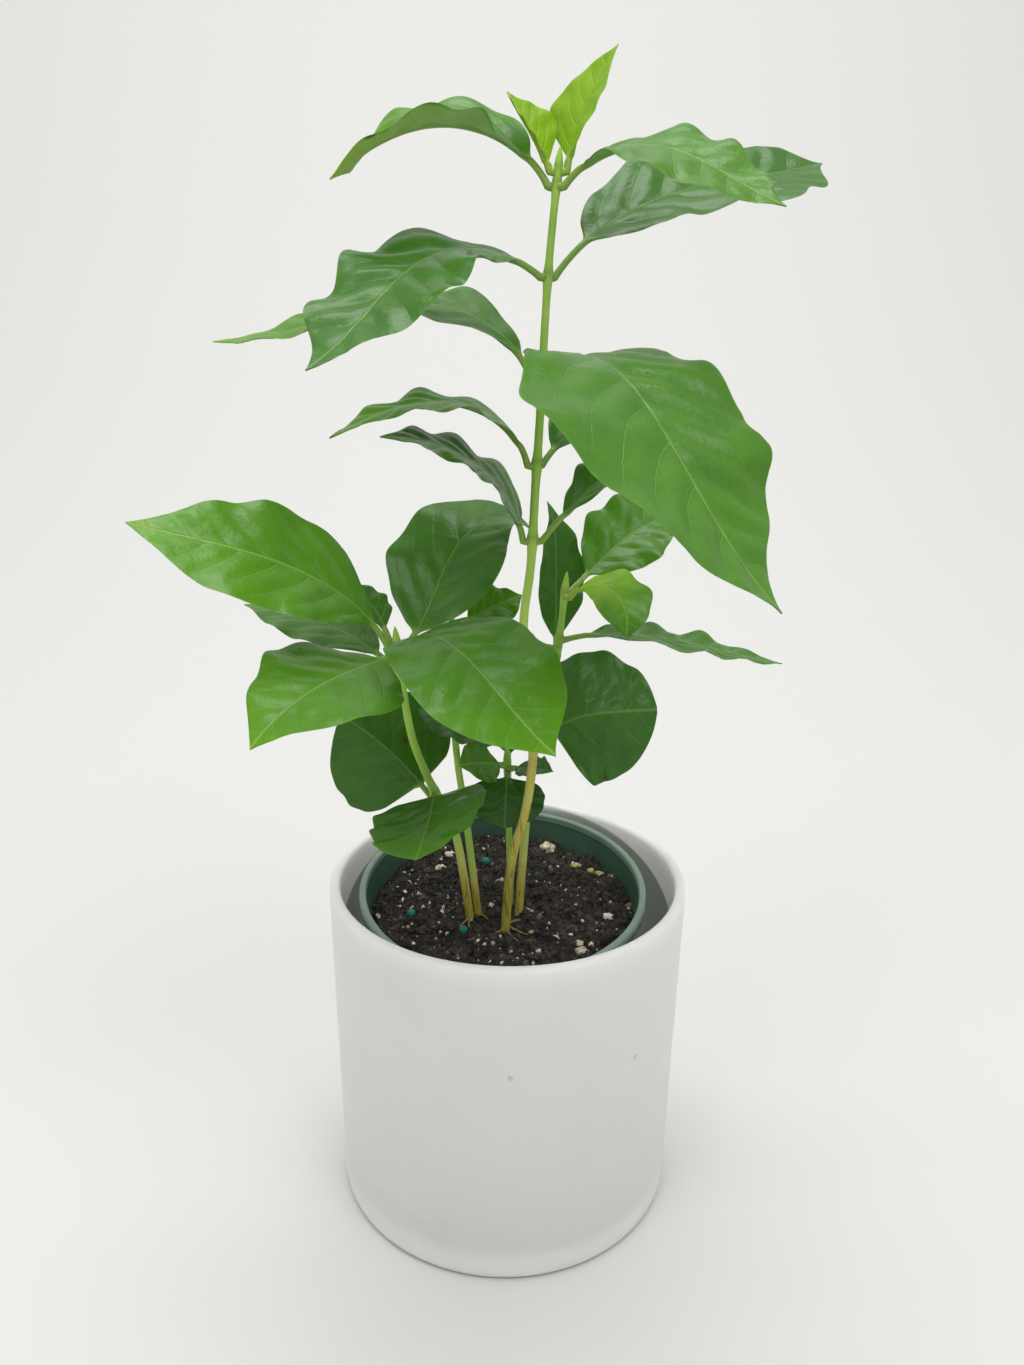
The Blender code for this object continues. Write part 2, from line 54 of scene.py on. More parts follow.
camera = bpy.data.objects.new("photo_view", bpy.data.cameras.new("photo_view"))
camera.data.sensor_width = SENSOR
camera.data.lens = FOCAL_LENGTH
camera.data.clip_start = 0.01
camera.matrix_world = (
    Matrix.Translation(Vector(CAMERA_PLACE) * MM)
    @ Matrix.Rotation(math.radians(-CAMERA_YAW), 4, "Z")
    @ Matrix.Rotation(math.radians(90 - CAMERA_PITCH), 4, "X")
    @ Matrix.Rotation(math.radians(CAMERA_ROLL), 4, "Z")
)
bpy.context.scene.collection.objects.link(camera)
bpy.context.scene.camera = camera
bpy.context.scene.view_settings.view_transform = "Standard"


def linear(code, alpha=1.0):
    """An sRGB hex colour as linear red, green, blue and alpha."""
    parts = [int(code[i:i + 2], 16) / 255 for i in (0, 2, 4)]
    return tuple(c / 12.92 if c <= 0.04045 else ((c + 0.055) / 1.055) ** 2.4 for c in parts) + (alpha,)


def add(tree, kind, inputs=(), stops=(), **settings):
    """A new node with its properties set, its colour stops if it has any, and its inputs filled.

    A kind that doesn't say Node is a shader node's. An input is named or numbered, and takes a value,
    a socket, or a node, which stands for its first live output.
    """
    made = tree.nodes.new(kind if "Node" in kind else "ShaderNode" + kind)
    for name, value in settings.items():
        setattr(made, name, value)
    for i, (place, code) in enumerate(stops):
        if i >= len(made.color_ramp.elements):
            made.color_ramp.elements.new(1.0)
        made.color_ramp.elements[i].position = place
        made.color_ramp.elements[i].color = linear(code)
    for name, value in dict(inputs).items():
        if isinstance(value, bpy.types.Node):
            value = next(socket for socket in value.outputs if socket.enabled)
        if isinstance(value, bpy.types.NodeSocket):
            tree.links.new(value, made.inputs[name])
        else:
            made.inputs[name].default_value = value
    return made


def new_material(name):
    """An empty node material, and its tree."""
    made = bpy.data.materials.new(name)
    made.use_nodes = True
    made.node_tree.nodes.clear()
    return made, made.node_tree


def put(name, data):
    """A new object at the origin, in the scene."""
    thing = bpy.data.objects.new(name, data)
    bpy.context.scene.collection.objects.link(thing)
    return thing


def smooth_mesh(name, points, faces, look, sharp=50):
    """A mesh object at the origin, smooth apart from its sharp edges."""
    mesh = bpy.data.meshes.new(name)
    mesh.from_pydata([Vector(p) * MM for p in points], [], faces)
    mesh.materials.append(look)
    mesh.polygons.foreach_set("use_smooth", np.ones(len(mesh.polygons), bool))
    mesh.set_sharp_from_angle(angle=math.radians(sharp))
    mesh.update()
    return put(name, mesh)


# Matte paper: soft shadows and no shine.
paper, tree = new_material("white_paper_sweep")
paper_shader = add(tree, "BsdfPrincipled", {
    "Base Color": linear("DCDCDA"),
    "Roughness": 0.9,
})
add(tree, "OutputMaterial", {"Surface": paper_shader})

SWEEP_FRONT = -1500.0
SWEEP_BACK = 300.0
SWEEP_BEND = 1500.0
SWEEP_TOP = 3200.0
SWEEP_HALF_WIDTH = 3000.0
bend = [math.radians(a) for a in range(0, 91, 5)]
profile = [(SWEEP_FRONT, 0.0)]
profile += [(SWEEP_BACK + SWEEP_BEND * math.sin(a), SWEEP_BEND * (1 - math.cos(a))) for a in bend]
profile += [(SWEEP_BACK + SWEEP_BEND, SWEEP_TOP)]
points = [(x, y, z) for y, z in profile for x in (-SWEEP_HALF_WIDTH, SWEEP_HALF_WIDTH)]
faces = [(i, i + 1, i + 3, i + 2) for i in range(0, len(points) - 2, 2)]
sweep = smooth_mesh("paper_sweep", points, faces, paper)

# Soft light: a pale room all round, a broad light from above, two fills from the front corners
# and one lamp that lights the wall of the sweep.
ROOM_STRENGTH = 0.66
room = bpy.data.worlds.new("pale_room")
room.use_nodes = True
sky = room.node_tree.nodes["Background"]
sky.inputs["Color"].default_value = linear("F6F6F4")
sky.inputs["Strength"].default_value = ROOM_STRENGTH
bpy.context.scene.world = room


def soft_light(name, place, target, size, power):
    """A square lamp that faces a point of the plant."""
    lamp = bpy.data.lights.new(name, "AREA")
    lamp.shape = "SQUARE"
    lamp.size = size * MM
    lamp.energy = power
    aim = (Vector(target) - Vector(place)).to_track_quat("-Z", "Y").to_matrix().to_4x4()
    put(name, lamp).matrix_world = Matrix.Translation(Vector(place) * MM) @ aim


soft_light("window_above", (-60, 60, 1400), (0, 0, 200), 700, 3.8)
soft_light("front_right", (560, -700, 1350), (0, 0, 120), 600, 4.6)
soft_light("front_left", (-560, -700, 1300), (0, 0, 120), 500, 2.9)
soft_light("wall_light", (-100, 300, 2800), (-100, 1800, 1900), 1500, 31.0)

# The cover pot: slip-cast white stoneware under a satin glaze, one wall with a full round lip. Light
# scatters a few millimetres through the white body. The inside is painted a brighter white as painted
# light down to a slanting line, and grey below it as painted shade of the gap between the pots. The
# glaze ends just above a bare tan foot.
POT_HEIGHT = 130.0
POT_RADIUS = 67.5
POT_FOOT_RADIUS = 65.6
POT_INNER_RADIUS = 63.5
POT_FLOOR = 9.0
POT_FOOT_ROUNDING = 3.0
POT_FLOOR_ROUNDING = 4.0
POT_SIDES = 192
SHADE_LEVEL = 111.0
SHADE_SLANT = 0.31
SHADE_SOFTNESS = 0.8
FOOT_LINE = 0.9
FOOT_WOBBLE = 1.2
SCATTER_DEPTH = 10.0
SCUFFS = [(1.6, -66.9, 88.3), (45.6, -48.9, 83.6)]
SCUFF_REACH = 3.2
SCUFF_START = -0.6


def arc(middle, radius, start, end, steps):
    """Points on an arc in the (radius, height) plane, with the angles measured from +radius."""
    angles = np.radians(np.linspace(start, end, steps + 1))
    return [(middle[0] + radius * math.cos(a), middle[1] + radius * math.sin(a)) for a in angles]


def capped_rings(first, rings, last):
    """Points and faces of rings of points, closed by a fan at each end and facing outwards."""
    sides = len(rings[0])
    points = [first] + [point for ring in rings for point in ring] + [last]
    end = len(points) - 1
    faces = []
    for k in range(sides):
        n = (k + 1) % sides
        faces.append((0, 1 + n, 1 + k))
        for low in range(1, end - sides, sides):
            faces.append((low + k, low + n, low + sides + n, low + sides + k))
        faces.append((end - sides + k, end - sides + n, end))
    return points, faces


def turned(name, profile, sides, look, place=Matrix.Identity(4), sharp=50):
    """A closed turned piece from (radius, height) points, up the outside and down the inside."""
    angles = [math.tau * i / sides for i in range(sides)]
    rings = [[place @ Vector((r * math.cos(a), r * math.sin(a), z)) for a in angles]
             for r, z in profile[1:-1]]
    first, last = [place @ Vector((0, 0, z)) for _, z in (profile[0], profile[-1])]
    points, faces = capped_rings(first, rings, last)
    return smooth_mesh(name, points, faces, look, sharp=sharp)


# Satin glaze: broad dull highlights, with faint clouds, fine specks and two worn spots.
glaze, tree = new_material("satin_white_glaze")
place = add(tree, "TexCoord").outputs["Object"]
height = add(tree, "SeparateXYZ", {0: place}).outputs["Z"]
cloud = add(tree, "TexNoise", {"Vector": place, "Scale": 28.0, "Detail": 3.0})
speck = add(tree, "TexNoise", {"Vector": place, "Scale": 900.0})
white = add(tree, "ValToRGB", {0: cloud}, [(0.3, "E9E8E3"), (0.7, "ECEBE7")])
speck_mask = add(tree, "MapRange", {0: speck, 1: 0.76, 2: 0.80, 3: 0.0, 4: 0.25})
white = add(tree, "Mix", {0: speck_mask, 6: white, 7: linear("A79F92")}, data_type="RGBA")
for spot in SCUFFS:
    away = add(tree, "VectorMath", {0: place, 1: Vector(spot) * MM}, operation="DISTANCE")
    frayed = add(tree, "TexNoise", {"Vector": place, "Scale": 700.0})
    reach = add(tree, "Math", {0: frayed, 1: SCUFF_REACH * MM, 2: SCUFF_START * MM},
                operation="MULTIPLY_ADD")
    gap = add(tree, "Math", {0: away, 1: reach}, operation="SUBTRACT")
    mark = add(tree, "MapRange", {0: gap, 1: -0.3 * MM, 2: 0.2 * MM, 3: 0.45, 4: 0.0})
    white = add(tree, "Mix", {0: mark, 6: white, 7: linear("B79C93")}, data_type="RGBA")
foot_level = (FOOT_LINE - FOOT_WOBBLE / 2) * MM
foot_wobble = add(tree, "Math", {0: cloud, 1: FOOT_WOBBLE * MM, 2: foot_level}, operation="MULTIPLY_ADD")
foot_mask = add(tree, "Math", {0: height, 1: foot_wobble}, operation="LESS_THAN")
white = add(tree, "Mix", {0: foot_mask, 6: white, 7: linear("B79E7C")}, data_type="RGBA")
flat = add(tree, "VectorMath", {0: place, 1: (1.0, 1.0, 0.0)}, operation="MULTIPLY")
radius = add(tree, "VectorMath", {0: flat}, operation="LENGTH")
inside = add(tree, "Math", {0: radius, 1: (POT_INNER_RADIUS + 1.5) * MM}, operation="LESS_THAN")
back = add(tree, "SeparateXYZ", {0: place}).outputs["Y"]
line = add(tree, "Math", {0: back, 1: SHADE_SLANT, 2: SHADE_LEVEL * MM}, operation="MULTIPLY_ADD")
depth = add(tree, "Math", {0: line, 1: height}, operation="SUBTRACT")
soft = SHADE_SOFTNESS * MM
below = add(tree, "MapRange", {0: depth, 1: -soft, 2: soft},
            interpolation_type="SMOOTHSTEP")
# Painted light: the inside and the inner half of the lip get a whiter colour than the outer glaze, to
# make up for light that the gap between the pots keeps out.
inner_white_painted_light = add(tree, "Mix", {0: inside, 6: white, 7: linear("FAF9F6")}, data_type="RGBA")
# Painted shade: below the slanting line the inside turns grey, standing for the shade in the gap between
# the pots.
painted_shade = add(tree, "Math", {0: inside, 1: below}, operation="MULTIPLY")
tint = add(tree, "Mix", {0: painted_shade, 6: inner_white_painted_light, 7: linear("B2B7B3")}, data_type="RGBA")
ripple = add(tree, "TexNoise", {"Vector": place, "Scale": 60.0})
relief = add(tree, "Bump", {"Height": ripple, "Distance": 0.15 * MM, "Strength": 0.35})
sheen_map = add(tree, "MapRange", {0: cloud, 1: 0.3, 2: 0.7, 3: 0.42, 4: 0.52})
glaze_shader = add(tree, "BsdfPrincipled", {
    "Base Color": tint,
    "Roughness": sheen_map,
    "IOR": 1.5,
    "Subsurface Weight": 0.9,
    "Subsurface Radius": (1.0, 0.97, 0.93),
    "Subsurface Scale": SCATTER_DEPTH * MM,
    "Normal": relief,
})
add(tree, "OutputMaterial", {"Surface": glaze_shader})

lip = (POT_RADIUS - POT_INNER_RADIUS) / 2
foot = POT_FOOT_RADIUS - POT_FOOT_ROUNDING
outside = list(zip(np.linspace(POT_FOOT_RADIUS, POT_RADIUS, 8), np.linspace(6, POT_HEIGHT - 8, 8)))
floor_corner = (POT_INNER_RADIUS - POT_FLOOR_ROUNDING, POT_FLOOR + POT_FLOOR_ROUNDING)
pot_profile = [(0, 0), (foot, 0)]
pot_profile += arc((foot, POT_FOOT_ROUNDING), POT_FOOT_ROUNDING, -90, 0, 6)[1:]
pot_profile += outside
pot_profile += arc((POT_RADIUS - lip, POT_HEIGHT - lip), lip, 0, 180, 14)
pot_profile += [(POT_INNER_RADIUS, z) for z in (120, 90, 50)]
pot_profile += arc(floor_corner, POT_FLOOR_ROUNDING, 0, -90, 5)
pot_profile += [(0, POT_FLOOR)]
cover_pot = turned("cover_pot", pot_profile, POT_SIDES, glaze)
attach(cover_pot, "root")
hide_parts("ceramic_cover_pot")

# The nursery pot: thin dark green polypropylene, injection moulded, with a paler rolled band at its rim.
# It stands loose in the cover pot and leans forward until its rim meets the wall.
NURSERY_RIM_RADIUS = 53.4
NURSERY_RIM_INNER_RADIUS = 50.8
NURSERY_RIM_HEIGHT = 4.0
NURSERY_BODY_RADIUS = 51.8
NURSERY_BOTTOM_RADIUS = 38.0
NURSERY_WALL = 1.0
NURSERY_BAND = 2.7
RIM_OUTER_ROUNDING = 1.1
RIM_INNER_ROUNDING = 0.9
NURSERY_LEAN = 6.9
NURSERY_RIM_MIDDLE = (-1.8, -9.9, 130.5)
GAP = 0.3

lean = math.radians(NURSERY_LEAN)
nursery_height = NURSERY_RIM_MIDDLE[2] - POT_FLOOR - GAP - NURSERY_BOTTOM_RADIUS * math.sin(lean)
nursery_height /= math.cos(lean)
lean_turn = Matrix.Rotation(lean, 4, "X")
nursery_foot = Vector(NURSERY_RIM_MIDDLE) - lean_turn @ Vector((0, 0, nursery_height))
nursery_place = Matrix.Translation(nursery_foot) @ lean_turn


def nursery_wall_radius(height):
    """The inner radius of the tapered wall at a height above the nursery pot's underside."""
    share = min(max(height / nursery_height, 0), 1)
    return NURSERY_BOTTOM_RADIUS + (NURSERY_BODY_RADIUS - NURSERY_BOTTOM_RADIUS) * share - NURSERY_WALL


# Moulded polypropylene: a dull sheen and faint streaks of colour.
plastic, tree = new_material("moulded_green_polypropylene")
place = add(tree, "TexCoord").outputs["Object"]
upright = add(tree, "Mapping", {
    "Vector": place,
    "Location": nursery_foot * MM,
    "Rotation": (lean, 0.0, 0.0),
}, vector_type="TEXTURE")
level = add(tree, "SeparateXYZ", {0: upright}).outputs["Z"]
band_start = (nursery_height - NURSERY_BAND) * MM
band = add(tree, "MapRange", {0: level, 1: band_start, 2: band_start + 0.4 * MM})
streak = add(tree, "TexNoise", {"Vector": upright, "Scale": 45.0, "Detail": 4.0})
body_tint = add(tree, "ValToRGB", {0: streak}, [(0.3, "2C4E3C"), (0.7, "375A47")])
band_tint = add(tree, "ValToRGB", {0: streak}, [(0.3, "708579"), (0.7, "859A8E")])
tint = add(tree, "Mix", {0: band, 6: body_tint, 7: band_tint}, data_type="RGBA")
grain = add(tree, "TexNoise", {"Vector": place, "Scale": 1600.0})
relief = add(tree, "Bump", {"Height": grain, "Distance": 0.05 * MM, "Strength": 0.3})
plastic_shader = add(tree, "BsdfPrincipled", {
    "Base Color": tint,
    "Roughness": 0.42,
    "IOR": 1.49,
    "Normal": relief,
})
add(tree, "OutputMaterial", {"Surface": plastic_shader})

band_foot = nursery_height - NURSERY_RIM_HEIGHT
nursery_profile = [
    (0, 0),
    (NURSERY_BOTTOM_RADIUS, 0),
    (NURSERY_BODY_RADIUS, band_foot),
    (NURSERY_RIM_RADIUS, band_foot),
    (NURSERY_RIM_RADIUS, nursery_height - 1.2),
]
outer_edge = (NURSERY_RIM_RADIUS - RIM_OUTER_ROUNDING, nursery_height - RIM_OUTER_ROUNDING)
inner_edge = (NURSERY_RIM_INNER_RADIUS + RIM_INNER_ROUNDING, nursery_height - RIM_INNER_ROUNDING)
nursery_profile += arc(outer_edge, RIM_OUTER_ROUNDING, 20, 90, 5)
nursery_profile += arc(inner_edge, RIM_INNER_ROUNDING, 90, 180, 5)
nursery_profile += [
    (NURSERY_RIM_INNER_RADIUS, band_foot + 0.6),
    (nursery_wall_radius(band_foot), band_foot),
    (nursery_wall_radius(60), 60),
    (nursery_wall_radius(NURSERY_WALL), NURSERY_WALL),
    (0, NURSERY_WALL),
]
nursery = turned("grow_pot", nursery_profile, POT_SIDES, plastic, nursery_place, sharp=40)
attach(nursery, "root")
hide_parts("nursery_pot")

# The potting mix: dark peat and bark, crumbly and damp, with expanded white perlite and coated feed
# beads through it. The surface is a fine mesh, and its loose crumbs are strewn over it.
SOIL_LEVEL = 119.6
WAVE_HEIGHT = 0.35
SOIL_RINGS = 80
SOIL_SIDES = 240
RING_CROWDING = 0.8
CLOD_HEIGHT = 1.5
CLOD_PITCH = 0.16
PIT_DEPTH = 0.5
PIT_PITCH = 0.55
SOIL_SKIRT = 96.0
STREWN_FACING = 0.35
LEAST_LUMP = 0.35
LUMP_NARROWING = 0.85
FULL_SPIN = 6.3


def soil_plane(y):
    """The soil's mean level, which slopes with the nursery pot."""
    return SOIL_LEVEL + y * math.tan(lean)


def soil_height(x, y):
    """Low waves in three directions, with clods and crumbs on them."""
    waves = math.sin(0.30 * x + 0.10 * y) + math.sin(0.25 * y - 0.17 * x + 1)
    waves += math.sin(0.13 * x + 0.38 * y)
    clods = noise.fractal(Vector((x, y, 3.0)) * CLOD_PITCH, 0.9, 2.1, 6)
    pits = noise.noise(Vector((x, y, 9.0)) * PIT_PITCH)
    return soil_plane(y) + WAVE_HEIGHT * waves + CLOD_HEIGHT * clods + PIT_DEPTH * pits


def soil_rim(angle, up):
    """A point on the nursery pot's inner wall, at a height in the pot's own frame."""
    reach = nursery_wall_radius(up) - GAP / 2
    return nursery_place @ Vector((reach * math.cos(angle), reach * math.sin(angle), up))


soil_up = (SOIL_LEVEL + nursery_foot.y * math.tan(lean) - nursery_foot.z) * math.cos(lean)
soil_middle = nursery_place @ Vector((0, 0, soil_up))
points = []
for ring in range(SOIL_RINGS + 1):
    share = (ring / SOIL_RINGS) ** RING_CROWDING
    for i in range(SOIL_SIDES):
        angle = math.tau * i / SOIL_SIDES
        rim = soil_rim(angle, soil_up)
        spot = soil_middle.lerp(rim, share)
        points.append((spot.x, spot.y, soil_height(spot.x, spot.y)))
for i in range(SOIL_SIDES):
    points.append(soil_rim(math.tau * i / SOIL_SIDES, SOIL_SKIRT))
faces = []
for ring in range(SOIL_RINGS + 1):
    for i in range(SOIL_SIDES):
        j = (i + 1) % SOIL_SIDES
        low = ring * SOIL_SIDES
        faces.append((low + i, low + SOIL_SIDES + i, low + SOIL_SIDES + j, low + j))
faces.append(tuple(range((SOIL_RINGS + 1) * SOIL_SIDES, (SOIL_RINGS + 2) * SOIL_SIDES))[::-1])

# Damp peat and bark: brown crumbs and a faint gleam, with painted shade that turns the hollows of the
# relief nearly black.
peat, tree = new_material("damp_peat_and_bark")
place = add(tree, "TexCoord").outputs["Object"]
crumb = add(tree, "TexNoise", {"Vector": place, "Scale": 260.0, "Detail": 8.0, "Roughness": 0.7})
# Painted shade: this ramp reads the same noise as the relief, so its nearly black low end falls in the
# hollows. The browns above it are the mix's own tone.
brown = add(tree, "ValToRGB", {0: crumb}, [
    (0.3, "0E0C0B"),
    (0.46, "262220"),
    (0.58, "453D37"),
    (0.68, "6E6152"),
    (0.78, "9A8A74"),
])
fine = add(tree, "TexNoise", {"Vector": place, "Scale": 1100.0, "Detail": 6.0, "Roughness": 0.75})
relief = add(tree, "Bump", {"Height": crumb, "Distance": 1.4 * MM, "Strength": 0.8})
relief = add(tree, "Bump", {"Height": fine, "Distance": 0.5 * MM, "Strength": 0.7, "Normal": relief})
peat_shader = add(tree, "BsdfPrincipled", {
    "Base Color": brown,
    "Roughness": 0.72,
    "Normal": relief,
})
add(tree, "OutputMaterial", {"Surface": peat_shader})
soil = smooth_mesh("soil_surface", points, faces, peat, sharp=60)
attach(soil, "root")
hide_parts("potting_soil")


def strewn(name, look, density, size, squash, roughness, seed):
    """Lumps strewn on the soil's top by Geometry Nodes, as one plain mesh."""
    sizes = {"Density": density, "Size": size * MM, "Squash": squash, "Roughness": roughness * MM,
             "Seed": seed}
    tree = bpy.data.node_groups.new(name, "GeometryNodeTree")
    for way in ("INPUT", "OUTPUT"):
        tree.interface.new_socket("Geometry", in_out=way, socket_type="NodeSocketGeometry")
    for label in sizes:
        kind = "NodeSocketInt" if label == "Seed" else "NodeSocketFloat"
        tree.interface.new_socket(label, in_out="INPUT", socket_type=kind)
    given = add(tree, "NodeGroupInput")
    draws = given.outputs["Seed"]
    normal = add(tree, "GeometryNodeInputNormal")
    upright = add(tree, "SeparateXYZ", {0: normal}).outputs["Z"]
    on_top = add(tree, "FunctionNodeCompare", {0: upright, 1: STREWN_FACING}, operation="GREATER_THAN")
    spots = add(tree, "GeometryNodeDistributePointsOnFaces", {
        "Mesh": given,
        "Selection": on_top,
        "Density": given.outputs["Density"],
        "Seed": draws,
    })
    ball = add(tree, "GeometryNodeMeshIcoSphere", {"Radius": 1.0, "Subdivisions": 1})
    squashed = add(tree, "CombineXYZ", {0: 1.0, 1: LUMP_NARROWING, 2: given.outputs["Squash"]})
    lump = add(tree, "GeometryNodeTransform", {"Geometry": ball, "Scale": squashed})
    draw = add(tree, "FunctionNodeRandomValue", {2: LEAST_LUMP, 3: 1.0, "Seed": draws})
    scale = add(tree, "Math", {0: draw, 1: given.outputs["Size"]}, operation="MULTIPLY")
    spin = add(tree, "FunctionNodeRandomValue", {0: (0, 0, 0), 1: (FULL_SPIN,) * 3, "Seed": draws},
               data_type="FLOAT_VECTOR")
    laid = add(tree, "GeometryNodeInstanceOnPoints", {
        "Points": spots,
        "Instance": lump,
        "Rotation": spin,
        "Scale": scale,
    })
    real = add(tree, "GeometryNodeRealizeInstances", {0: laid})
    place = add(tree, "GeometryNodeInputPosition")
    broken = add(tree, "TexNoise", {"Vector": place, "Scale": 620.0})
    centred = add(tree, "VectorMath", {0: broken.outputs["Color"], 1: (0.5, 0.5, 0.5)},
                  operation="SUBTRACT")
    shift = add(tree, "VectorMath", {0: centred, "Scale": given.outputs["Roughness"]}, operation="SCALE")
    rough = add(tree, "GeometryNodeSetPosition", {"Geometry": real, "Offset": shift})
    dressed = add(tree, "GeometryNodeSetMaterial", {"Geometry": rough, "Material": look})
    add(tree, "NodeGroupOutput", {0: dressed})
    base = put(name + "_base", soil.data.copy())
    strewing = base.modifiers.new("strewn", "NODES")
    strewing.node_group = tree
    for socket in tree.interface.items_tree:
        if socket.name in sizes:
            strewing[socket.identifier] = sizes[socket.name]
    mesh = bpy.data.meshes.new_from_object(base.evaluated_get(bpy.context.evaluated_depsgraph_get()))
    bpy.data.objects.remove(base)
    mesh.name = name
    piece = put(name, mesh)
    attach(piece, "root")


# Expanded perlite: chalky white foam with brown dust in its hollows.
perlite, tree = new_material("expanded_perlite")
place = add(tree, "TexCoord").outputs["Object"]
dust = add(tree, "TexNoise", {"Vector": place, "Scale": 420.0, "Detail": 5.0})
chalk = add(tree, "ValToRGB", {0: dust}, [(0.3, "9A8468"), (0.46, "D6C8AE"), (0.62, "F4EEE2")])
foam = add(tree, "TexVoronoi", {"Vector": place, "Scale": 1500.0})
relief = add(tree, "Bump", {"Height": foam, "Distance": 0.3 * MM, "Strength": 0.6})
perlite_shader = add(tree, "BsdfPrincipled", {
    "Base Color": chalk,
    "Roughness": 0.9,
    "Normal": relief,
})
add(tree, "OutputMaterial", {"Surface": perlite_shader})

# Composted bark: dull red-brown fibres.
chips, tree = new_material("composted_bark_chip")
place = add(tree, "TexCoord").outputs["Object"]
fibre = add(tree, "TexNoise", {"Vector": place, "Scale": 500.0, "Detail": 5.0})
chip_tint = add(tree, "ValToRGB", {0: fibre}, [(0.3, "3B2A20"), (0.5, "6A4E3B"), (0.68, "A08262")])
chip_shader = add(tree, "BsdfPrincipled", {
    "Base Color": chip_tint,
    "Roughness": 0.75,
})
add(tree, "OutputMaterial", {"Surface": chip_shader})

strewn("soil_crumbs", peat, 900000.0, 1.1, 0.7, 0.9, 3)
strewn("soil_clods", peat, 60000.0, 2.6, 0.6, 2.2, 11)
strewn("bark_chips", chips, 30000.0, 1.3, 0.35, 1.2, 21)
strewn("perlite_crumbs", perlite, 30000.0, 0.65, 0.75, 0.9, 5)
strewn("perlite_lumps", perlite, 21000.0, 1.4, 0.7, 1.9, 8)

# Single grains that catch the eye: large perlite, perlite gone green, a bark flake and round feed beads.
# A coated feed bead: a smooth blue-green skin with a small highlight.
feed, tree = new_material("coated_feed_bead")
feed_shader = add(tree, "BsdfPrincipled", {
    "Base Color": linear("0F7F74"),
    "Roughness": 0.4,
    "IOR": 1.45,
})
add(tree, "OutputMaterial", {"Surface": feed_shader})

# Perlite under a film of algae: yellow-green patches on chalk.
mossy, tree = new_material("green_grown_perlite")
place = add(tree, "TexCoord").outputs["Object"]
film = add(tree, "TexNoise", {"Vector": place, "Scale": 600.0, "Detail": 4.0})
film_tint = add(tree, "ValToRGB", {0: film}, [(0.35, "8C9444"), (0.6, "C9C489")])
mossy_shader = add(tree, "BsdfPrincipled", {
    "Base Color": film_tint,
    "Roughness": 0.85,
})
add(tree, "OutputMaterial", {"Surface": mossy_shader})

GRAIN_SIDES = 24
GRAIN_RINGS = 12
GRAIN_SEAT = 0.45
GRAIN_PITCH = 1.6
BEAD_RADIUS = 1.7
BEAD_BUMPS = 0.08
BEAD_PLACES = ((-9, 20), (-36, -13), (-16, -22))
GRAINS = [
    ("large_perlite", perlite, (16.6, 31.8), (2.9, 2.5, 2.3), 0.8),
    ("right_perlite", perlite, (27.0, -32.4), (2.4, 1.7, 1.6), 0.7),
    ("right_perlite_small", perlite, (26.1, -28.5), (1.6, 1.3, 1.2), 0.6),
    ("left_perlite", perlite, (-27, 18), (2.2, 1.6, 1.4), 0.7),
    ("left_perlite_back", perlite, (-24, 26), (2.0, 1.7, 1.4), 0.7),
    ("middle_perlite", perlite, (38, -12), (2.3, 1.5, 1.2), 0.7),
    ("mossy_left", mossy, (27.7, 20.5), (2.2, 1.5, 1.2), 0.6),
    ("mossy_middle", mossy, (33.5, 17.9), (1.7, 1.3, 1.1), 0.6),
    ("mossy_right", mossy, (36.6, 15.9), (1.8, 1.3, 1.1), 0.6),
    ("bark_flake", chips, (47.4, -4.9), (2.4, 1.2, 1.6), 0.5),
]
for i, spot in enumerate(BEAD_PLACES):
    GRAINS.append(("feed_bead_%d" % i, feed, spot, (BEAD_RADIUS,) * 3, BEAD_BUMPS))
for name, look, (x, y), radii, bumps in GRAINS:
    middle = Vector((x, y, soil_height(x, y) + GRAIN_SEAT * radii[2]))
    rings = [[] for _ in range(GRAIN_RINGS - 1)]
    for ring, polar in zip(rings, np.linspace(math.pi, 0, GRAIN_RINGS + 1)[1:-1]):
        reach = math.sin(polar)
        for k in range(GRAIN_SIDES):
            angle = math.tau * k / GRAIN_SIDES
            way = Vector((reach * math.cos(angle), reach * math.sin(angle), math.cos(polar)))
            bulge = 1 + bumps / 2 * noise.fractal(way * GRAIN_PITCH + middle, 0.8, 2.0, 4)
            ring.append(middle + bulge * Vector(w * r for w, r in zip(way, radii)))
    pole = Vector((0, 0, radii[2]))
    points, faces = capped_rings(middle - pole, rings, middle + pole)
    # A face that starts at its second corner is split along its other diagonal
    faces = [face[1:] + face[:1] for face in faces]
    grain = smooth_mesh(name, points, faces, look, sharp=70)
    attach(grain, "root")

